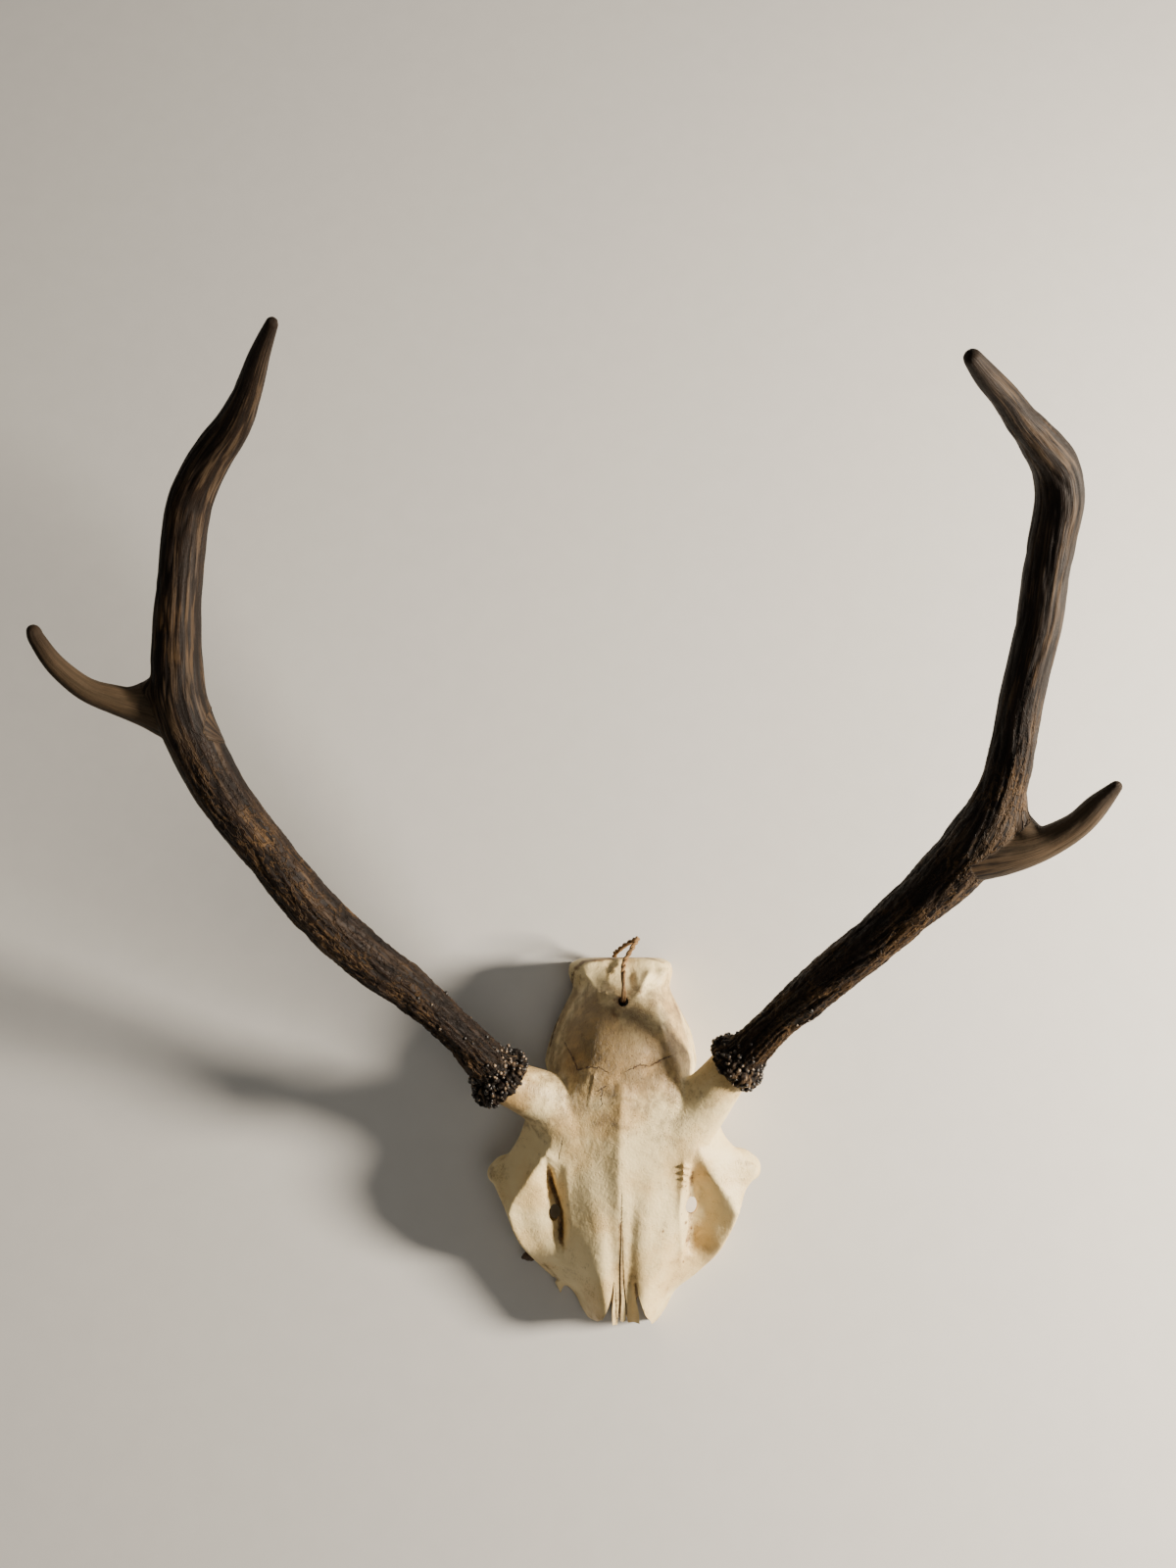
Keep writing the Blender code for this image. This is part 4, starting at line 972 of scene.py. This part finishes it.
def carve_gutters(antler, side):
    points, normals = read_points(antler.data), read_points(antler.data, "normal")
    along, angle, on_tine = along_and_around(points, side)
    round_it = GRAIN_RADIUS * np.cos(angle), GRAIN_RADIUS * np.sin(angle)
    grain = np.column_stack([*round_it, along + 0.3 * on_tine])
    seed = len(side)
    field = ripple(grain * (1, 1, GUTTER_STRETCH), GUTTER_SIZE, seed)
    finer = ripple(grain * (1, 1, GUTTER_STRETCH), GUTTER_SIZE * 0.45, seed + 1)
    gutter = bell(field / 0.13) + 0.45 * bell(finer / 0.16)
    fade = np.clip(1 - along / SMOOTH_FROM, 0, 1) * (1 - on_tine)
    bark = bell(ripple(grain * (1, 1, BARK_STRETCH), BARK_SIZE, seed + 2) / 0.22)
    middle, way = (np.array(vector) for vector in BURR[side])
    at_burr = far_from(points, middle) < BURR_REACH
    depth = GUTTER_DEPTH * gutter * (0.35 + 0.65 * fade) * np.where(at_burr, 0.3, 1)
    taper = np.clip((np.max(along) - along) / END_TAPER, 0.25, 1) * np.where(on_tine > 0, 0.4, 1)
    swelling = SWELLING * ripple(points, SWELLING_SIZE, seed + 3)
    push = (-depth + BARK_HEIGHT * bark * fade + swelling) * taper
    write_points(antler.data, points + normals * push[:, None])
    marks = {"grain": grain, "along": along, "fade": fade, "on_tine": on_tine}
    marks |= {"rib": np.clip(1 - gutter, 0, 1), "at_burr": at_burr.astype(float)}
    tips = [route[side][-1, :3] for route in (BEAM_ROUTE, TINE_ROUTE)]
    marks["tip"] = np.max([bell(far_from(points, tip) / TIP_REACH) for tip in tips], axis=0)
    # How near the fork a point is; the material paints it paler there, partly as painted light.
    marks["fork"] = bell(far_from(points, TINE_ROUTE[side][1, :3]) / FORK_REACH)
    rubbed = Vector(RUBBED_SIDE[side]).normalized()
    marks["outer"] = np.clip(normals @ np.array(rubbed), 0, 1)
    lift = (points - middle) @ way
    lifts, shares = np.array(COLLAR_RINGS).T
    collar = np.interp(lift, lifts, shares) * np.mean(CORONET_RADIUS[side])
    from_axis = far_from(points - lift[:, None] * way, middle)
    marks["crown"] = np.clip((from_axis - collar - KNOB_SIZE * 0.8) / KNOB_SIZE, 0, 1) * at_burr
    for name, values in marks.items():
        write_attribute(antler.data, name, values)


# %% [markdown]
# ## Antler
#
# Antler takes its colour from bark juice and rubbing: nearly black in the furrows, brown on the ribs, golden
# in streaks, and paler where branches have polished it, at the tips and on the outer side. All patterns read
# the stored grain coordinate, squeezed along the beam, so every streak runs lengthwise round the bends.

# %% Antler material
BLACK_BROWN, DARK_BROWN = tone(0.0050, 0.0032, 0.0024), tone(0.012, 0.0062, 0.0036)
RIB_BROWN, GOLD = tone(0.018, 0.0090, 0.0048), tone(0.105, 0.058, 0.0230)
SMOOTH_BROWN, PALE, HORN = tone(0.0135, 0.0078, 0.0046), tone(0.080, 0.053, 0.0310), tone(0.052, 0.036, 0.020)
PEARL_TOP = tone(0.20, 0.135, 0.080)

antler_look = Look("antler", 0.5)
grain = antler_look.attribute("grain", "Vector")
streaks = antler_look.noise(antler_look.stretched(grain, (1.0, 1.0, 0.07)), 420.0, 4.0, 0.6)
hairs = antler_look.noise(antler_look.stretched(grain, (1.0, 1.0, 0.05)), 1500.0, 3.0, 0.6)
worm_noise = antler_look.noise(antler_look.stretched(grain, (1.0, 1.0, 0.34)), 480.0, 2.0, 0.55)
patches = antler_look.noise(antler_look.place, 45.0, 3.0)
rib, fade, along = (antler_look.attribute(name) for name in ("rib", "fade", "along"))
outer = antler_look.attribute("outer")
worms = abs(worm_noise - 0.5).rise(0.060, 0.012) * fade.rise(0.0, 0.35)
antler_look.color = antler_look.blend(streaks.rise(0.40, 0.65), BLACK_BROWN, DARK_BROWN)
antler_look.coat(rib.rise(0.45, 0.95) * hairs.rise(0.35, 0.65) * 0.75, RIB_BROWN)
antler_look.coat(worms * (patches + outer * 0.20).rise(0.38, 0.75) * 0.75, GOLD)
gold_mask = (streaks + patches + outer * 0.14).rise(1.05, 1.25) * hairs.rise(0.42, 0.62)
antler_look.coat(gold_mask * 0.7, GOLD)
upper = along.rise(0.20, 0.40)
antler_look.coat(upper * hairs.rise(0.30, 0.62) * 0.7, SMOOTH_BROWN)
fork = antler_look.attribute("fork")
# Pale ribs, stronger round the fork: partly the antler's own paler colour there, partly painted light that
# lifts the shade in the crotch.
pale_ribs = (streaks + fork * 0.14).rise(0.53, 0.62) * (0.18 + upper * 0.42 + fork * 0.50)
antler_look.coat(pale_ribs * hairs.rise(0.25, 0.55), PALE)
tine_mask = antler_look.attribute("on_tine") * (along + streaks * 0.02).rise(0.010, 0.040)
tine_color = antler_look.blend((hairs + streaks).rise(0.8, 1.2), HORN, PALE)
antler_look.coat(tine_mask * 0.85, tine_color)
antler_look.coat(antler_look.attribute("tip") * 0.75, SMOOTH_BROWN)
burr_dark = antler_look.attribute("at_burr") * streaks.rise(0.72, 0.42)
antler_look.coat(burr_dark * 0.9, BLACK_BROWN)
crown = antler_look.attribute("crown")
antler_look.coat(crown * streaks.rise(0.52, 0.62) * 0.7, PEARL_TOP)
antler_look.feed(antler_look.shader.inputs["Roughness"], 0.70 - rib * 0.14)
antler_look.feed(antler_look.shader.inputs["Specular IOR Level"], 0.14)
antler_bark = antler_look.noise(antler_look.place, 900.0, 3.0)
antler_height = hairs * 0.4 + streaks * 0.5 + worms * 0.9 + antler_bark * 0.3 * fade
antler_material = antler_look.finish(antler_look.color, antler_height, 0.0008, 0.9)

# %% Build both antlers
antlers = {}
for side in BURR:
    rng = np.random.default_rng(11 + len(side))
    bodies = [rod(BEAM_ROUTE[side], ROUTE_STEPS, 40, "beam"), rod(TINE_ROUTE[side], ROUTE_STEPS, 32, "tine")]
    bodies += [rod(WEB_ROUTE[side], 4, 24, "web"), *coronet(side, rng)]
    antler = melted(bodies, f"{side}_antler", ANTLER_VOXEL, ANTLER_SOFTENING)
    carve_gutters(antler, side)
    show(antler, antler_material)
    antlers[side] = antler
    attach(antler, "root")
    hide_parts(f"antler_{side}_beam", f"antler_{side}_tine")

# %% [markdown]
# ## Pearls on coronet and bark
#
# Small pearls sit in hundreds on the coronet and thinner on the lowest part of the beam. They repeat, so
# Geometry Nodes scatter them: points over the faces, a small ball on each, and a random size. The tree ends
# in Realize Instances, and the result is kept as a plain mesh.


# %% The tree that scatters pearls
def pearl_tree():
    tree = bpy.data.node_groups.new("scatter_pearls", "GeometryNodeTree")
    wanted = [("Geometry", "Geometry"), ("Pearls per Square Metre", "Float"), ("Smallest", "Float")]
    wanted += [("Largest", "Float"), ("Seed", "Int"), ("Material", "Material")]
    for name, kind in wanted:
        tree.interface.new_socket(name, in_out="INPUT", socket_type="NodeSocket" + kind)
    tree.interface.new_socket("Geometry", in_out="OUTPUT", socket_type="NodeSocketGeometry")

    def node(kind, **settings):
        made = tree.nodes.new(kind)
        for name, value in settings.items():
            setattr(made, name, value)
        return made

    inside, outside = node("NodeGroupInput"), node("NodeGroupOutput")
    share = node("GeometryNodeInputNamedAttribute", data_type="FLOAT")
    share.inputs["Name"].default_value = "pearl_share"
    density = node("ShaderNodeMath", operation="MULTIPLY")
    scatter = node("GeometryNodeDistributePointsOnFaces", distribute_method="RANDOM")
    ball = node("GeometryNodeMeshIcoSphere")
    ball.inputs["Radius"].default_value = 1.0
    ball.inputs["Subdivisions"].default_value = 2
    size = node("FunctionNodeRandomValue", data_type="FLOAT")
    place = node("GeometryNodeInstanceOnPoints")
    real, paint = node("GeometryNodeRealizeInstances"), node("GeometryNodeSetMaterial")
    smooth = node("GeometryNodeSetShadeSmooth")
    wires = [
        (inside, "Pearls per Square Metre", density, 0),
        (share, "Attribute", density, 1),
        (inside, "Geometry", scatter, "Mesh"),
        (density, 0, scatter, "Density"),
        (inside, "Seed", scatter, "Seed"),
        (inside, "Smallest", size, 2),
        (inside, "Largest", size, 3),
        (inside, "Seed", size, "Seed"),
        (scatter, "Points", place, "Points"),
        (scatter, "Rotation", place, "Rotation"),
        (ball, "Mesh", place, "Instance"),
        (size, 1, place, "Scale"),
        (place, "Instances", real, "Geometry"),
        (real, "Geometry", smooth, "Geometry"),
        (smooth, "Geometry", paint, "Geometry"),
        (inside, "Material", paint, "Material"),
        (paint, "Geometry", outside, "Geometry"),
    ]
    for source, output, target, entry in wires:
        tree.links.new(source.outputs[output], target.inputs[entry])
    return tree


def scattered(antler, tree, name, material, **values):
    """The pearls on an antler as a plain mesh of their own."""
    carrier = bpy.data.objects.new(name, antler.data.copy())
    bpy.context.scene.collection.objects.link(carrier)
    modifier = carrier.modifiers.new("Pearls", "NODES")
    modifier.node_group = tree
    sockets = {item.name: item.identifier for item in tree.interface.items_tree if item.in_out == "INPUT"}
    values["Material"] = material
    for label, value in values.items():
        modifier[sockets[label.replace("_", " ")]] = value
    bake(carrier)
    carrier.data.calc_loop_triangles()
    print(name, len(carrier.data.loop_triangles), "triangles")
    return carrier


# %% Scatter the pearls
pearl_look = Look("antler_pearls", 0.4)
pearl_spots = pearl_look.noise(pearl_look.place, 350.0, 2.0)
PEARL_DARK, PEARL_LIGHT = tone(0.008, 0.0055, 0.0045), tone(0.25, 0.175, 0.110)
pearl_color = pearl_look.blend(pearl_spots.rise(0.53, 0.63), PEARL_DARK, PEARL_LIGHT)
pearl_material = pearl_look.finish(pearl_color, pearl_look.noise(pearl_look.place, 1500.0), 0.0003)
scatter_pearls = pearl_tree()
COLLAR_AT, COLLAR_WIDTH = 0.0175, 0.004  # distances from the middle of the burr
BEAM_SHARE, BEAM_REACH = 0.10, 0.10  # how many pearls the lower beam has, and how far up
for seed, (side, antler) in enumerate(antlers.items(), 3):
    places = read_points(antler.data)
    from_burr = far_from(places, BURR[side][0] + TO_ROW)
    collar = np.clip(1.5 - np.abs(from_burr - COLLAR_AT) / COLLAR_WIDTH, 0, 1)
    lower_beam = BEAM_SHARE * np.clip(1 - from_burr / BEAM_REACH, 0, 1)
    write_attribute(antler.data, "pearl_share", np.maximum(collar, lower_beam))
    sizes = {"Pearls_per_Square_Metre": 70000.0, "Smallest": 0.0007, "Largest": 0.0015, "Seed": seed}
    pearls = scattered(antler, scatter_pearls, f"{side}_pearls", pearl_material, **sizes)
    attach(pearls, "root")

# %% [markdown]
# ## The twine
#
# The loop is a short piece of two-ply twine. It comes up through the drilled hole, lies over the crest,
# stands out behind the head in a small bight, and goes back into the braincase below. A twisted cord is two
# strands that circle the same route half a turn apart. Its colour is golden brown with dark fibres along
# each strand.

# %% Twine
TWINE_RADIUS = 0.0016
TWINE_ROUTE = [  # x, y, z in metres
    (-0.003, 0.174, 0.0213), (-0.0026, 0.176, 0.027), (-0.0015, 0.1788, 0.0345), (-0.0007, 0.1802, 0.0415),
    (-0.0004, 0.1805, 0.048), (-0.0003, 0.1815, 0.0545), (0.0, 0.1855, 0.0552), (0.0, 0.1905, 0.0502),
    (0.0, 0.1965, 0.0446), (0.0008, 0.2035, 0.0402), (0.0036, 0.209, 0.0392), (0.0068, 0.2142, 0.0382),
    (0.009, 0.218, 0.034), (0.007, 0.2178, 0.0285), (0.0022, 0.2154, 0.024), (-0.0022, 0.2124, 0.019),
    (-0.004, 0.211, 0.013), (-0.0042, 0.2072, 0.0085), (-0.003, 0.201, 0.007), (-0.0028, 0.195, 0.0082),
    (-0.0029, 0.1895, 0.0115), (-0.003, 0.184, 0.0145), (-0.003, 0.1788, 0.016),
]
LAY_OPEN, LAY_TIGHT = 0.060, 0.0085  # metres for one turn of a strand, over the crest and after it
TWIST_FROM = 0.055  # metres along the twine where it starts to be tightly twisted
STRAND_RADIUS = TWINE_RADIUS * 0.56
STRANDS, STRAND_SIDES = 2, 12
FIBRE_RADIUS = 0.0009  # the fibres' pattern runs on a straight rod of this radius

twine_route = smooth_route([(*p, STRAND_RADIUS) for p in TWINE_ROUTE], 14)
travelled = np.concatenate([[0], np.cumsum(np.linalg.norm(np.diff(twine_route[:, :3], axis=0), axis=1))])
frames = ring_frames(twine_route)
strands = []
for turn in range(STRANDS):
    turns = np.minimum(travelled, TWIST_FROM) / LAY_OPEN + np.maximum(travelled - TWIST_FROM, 0) / LAY_TIGHT
    swirl = math.tau * (turns + turn / STRANDS)
    off = TWINE_RADIUS - STRAND_RADIUS
    core = [p + off * (math.cos(a) * u + math.sin(a) * v) for (p, u, v, _, _), a in zip(frames, swirl)]
    strands.append(rod([(*p, STRAND_RADIUS) for p in core], 1, STRAND_SIDES, "strand"))
twine = joined(strands, "hanging_loop")
index = np.arange(len(twine.data.vertices))
index %= len(index) // STRANDS  # each point's number in its own strand, whose rings are made in order
fibre = index % STRAND_SIDES / STRAND_SIDES * math.tau
reached = travelled[np.minimum(index // STRAND_SIDES, len(travelled) - 1)]
ply_grain = np.column_stack([FIBRE_RADIUS * np.cos(fibre), FIBRE_RADIUS * np.sin(fibre), reached])
write_attribute(twine.data, "ply", ply_grain)

twine_look = Look("twine", 0.85)
ply = twine_look.attribute("ply", "Vector")
fibres = twine_look.noise(twine_look.stretched(ply, (1.0, 1.0, 0.12)), 3800.0, 3.0)
dark_lengths = twine_look.noise(twine_look.place, 130.0, 2.0)
twine_color = twine_look.blend(fibres.rise(0.35, 0.65), tone(0.12, 0.058, 0.020), tone(0.38, 0.225, 0.090))
twine_color = twine_look.blend(dark_lengths.rise(0.50, 0.70) * 0.6, twine_color, tone(0.060, 0.030, 0.014))
twine_material = twine_look.finish(twine_color, fibres, 0.0004)
show(twine, twine_material)
print("twine is", round(travelled[-1], 4), "m long")
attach(twine, "root")
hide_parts("hanging_twine")

# %% Knot
KNOT_CENTER, KNOT_SCALE, KNOT_RADIUS = (-0.0030, 0.1745, 0.0165), 0.00105, 0.0012
turn = np.linspace(0, math.tau, 72, endpoint=False)
trefoil = [np.sin(turn) + 2 * np.sin(2 * turn), -np.sin(3 * turn), np.cos(turn) - 2 * np.cos(2 * turn)]
knot_points = np.column_stack(trefoil) * KNOT_SCALE + np.array(KNOT_CENTER)
knot_route = np.column_stack([knot_points, np.full(len(turn), KNOT_RADIUS)])
knot = rod(list(knot_route), 1, 12, "twine_knot_tied")
write_attribute(knot.data, "ply", read_points(knot.data) * 0.5)
show(knot, twine_material)
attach(knot, "root")
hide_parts("twine_knot")
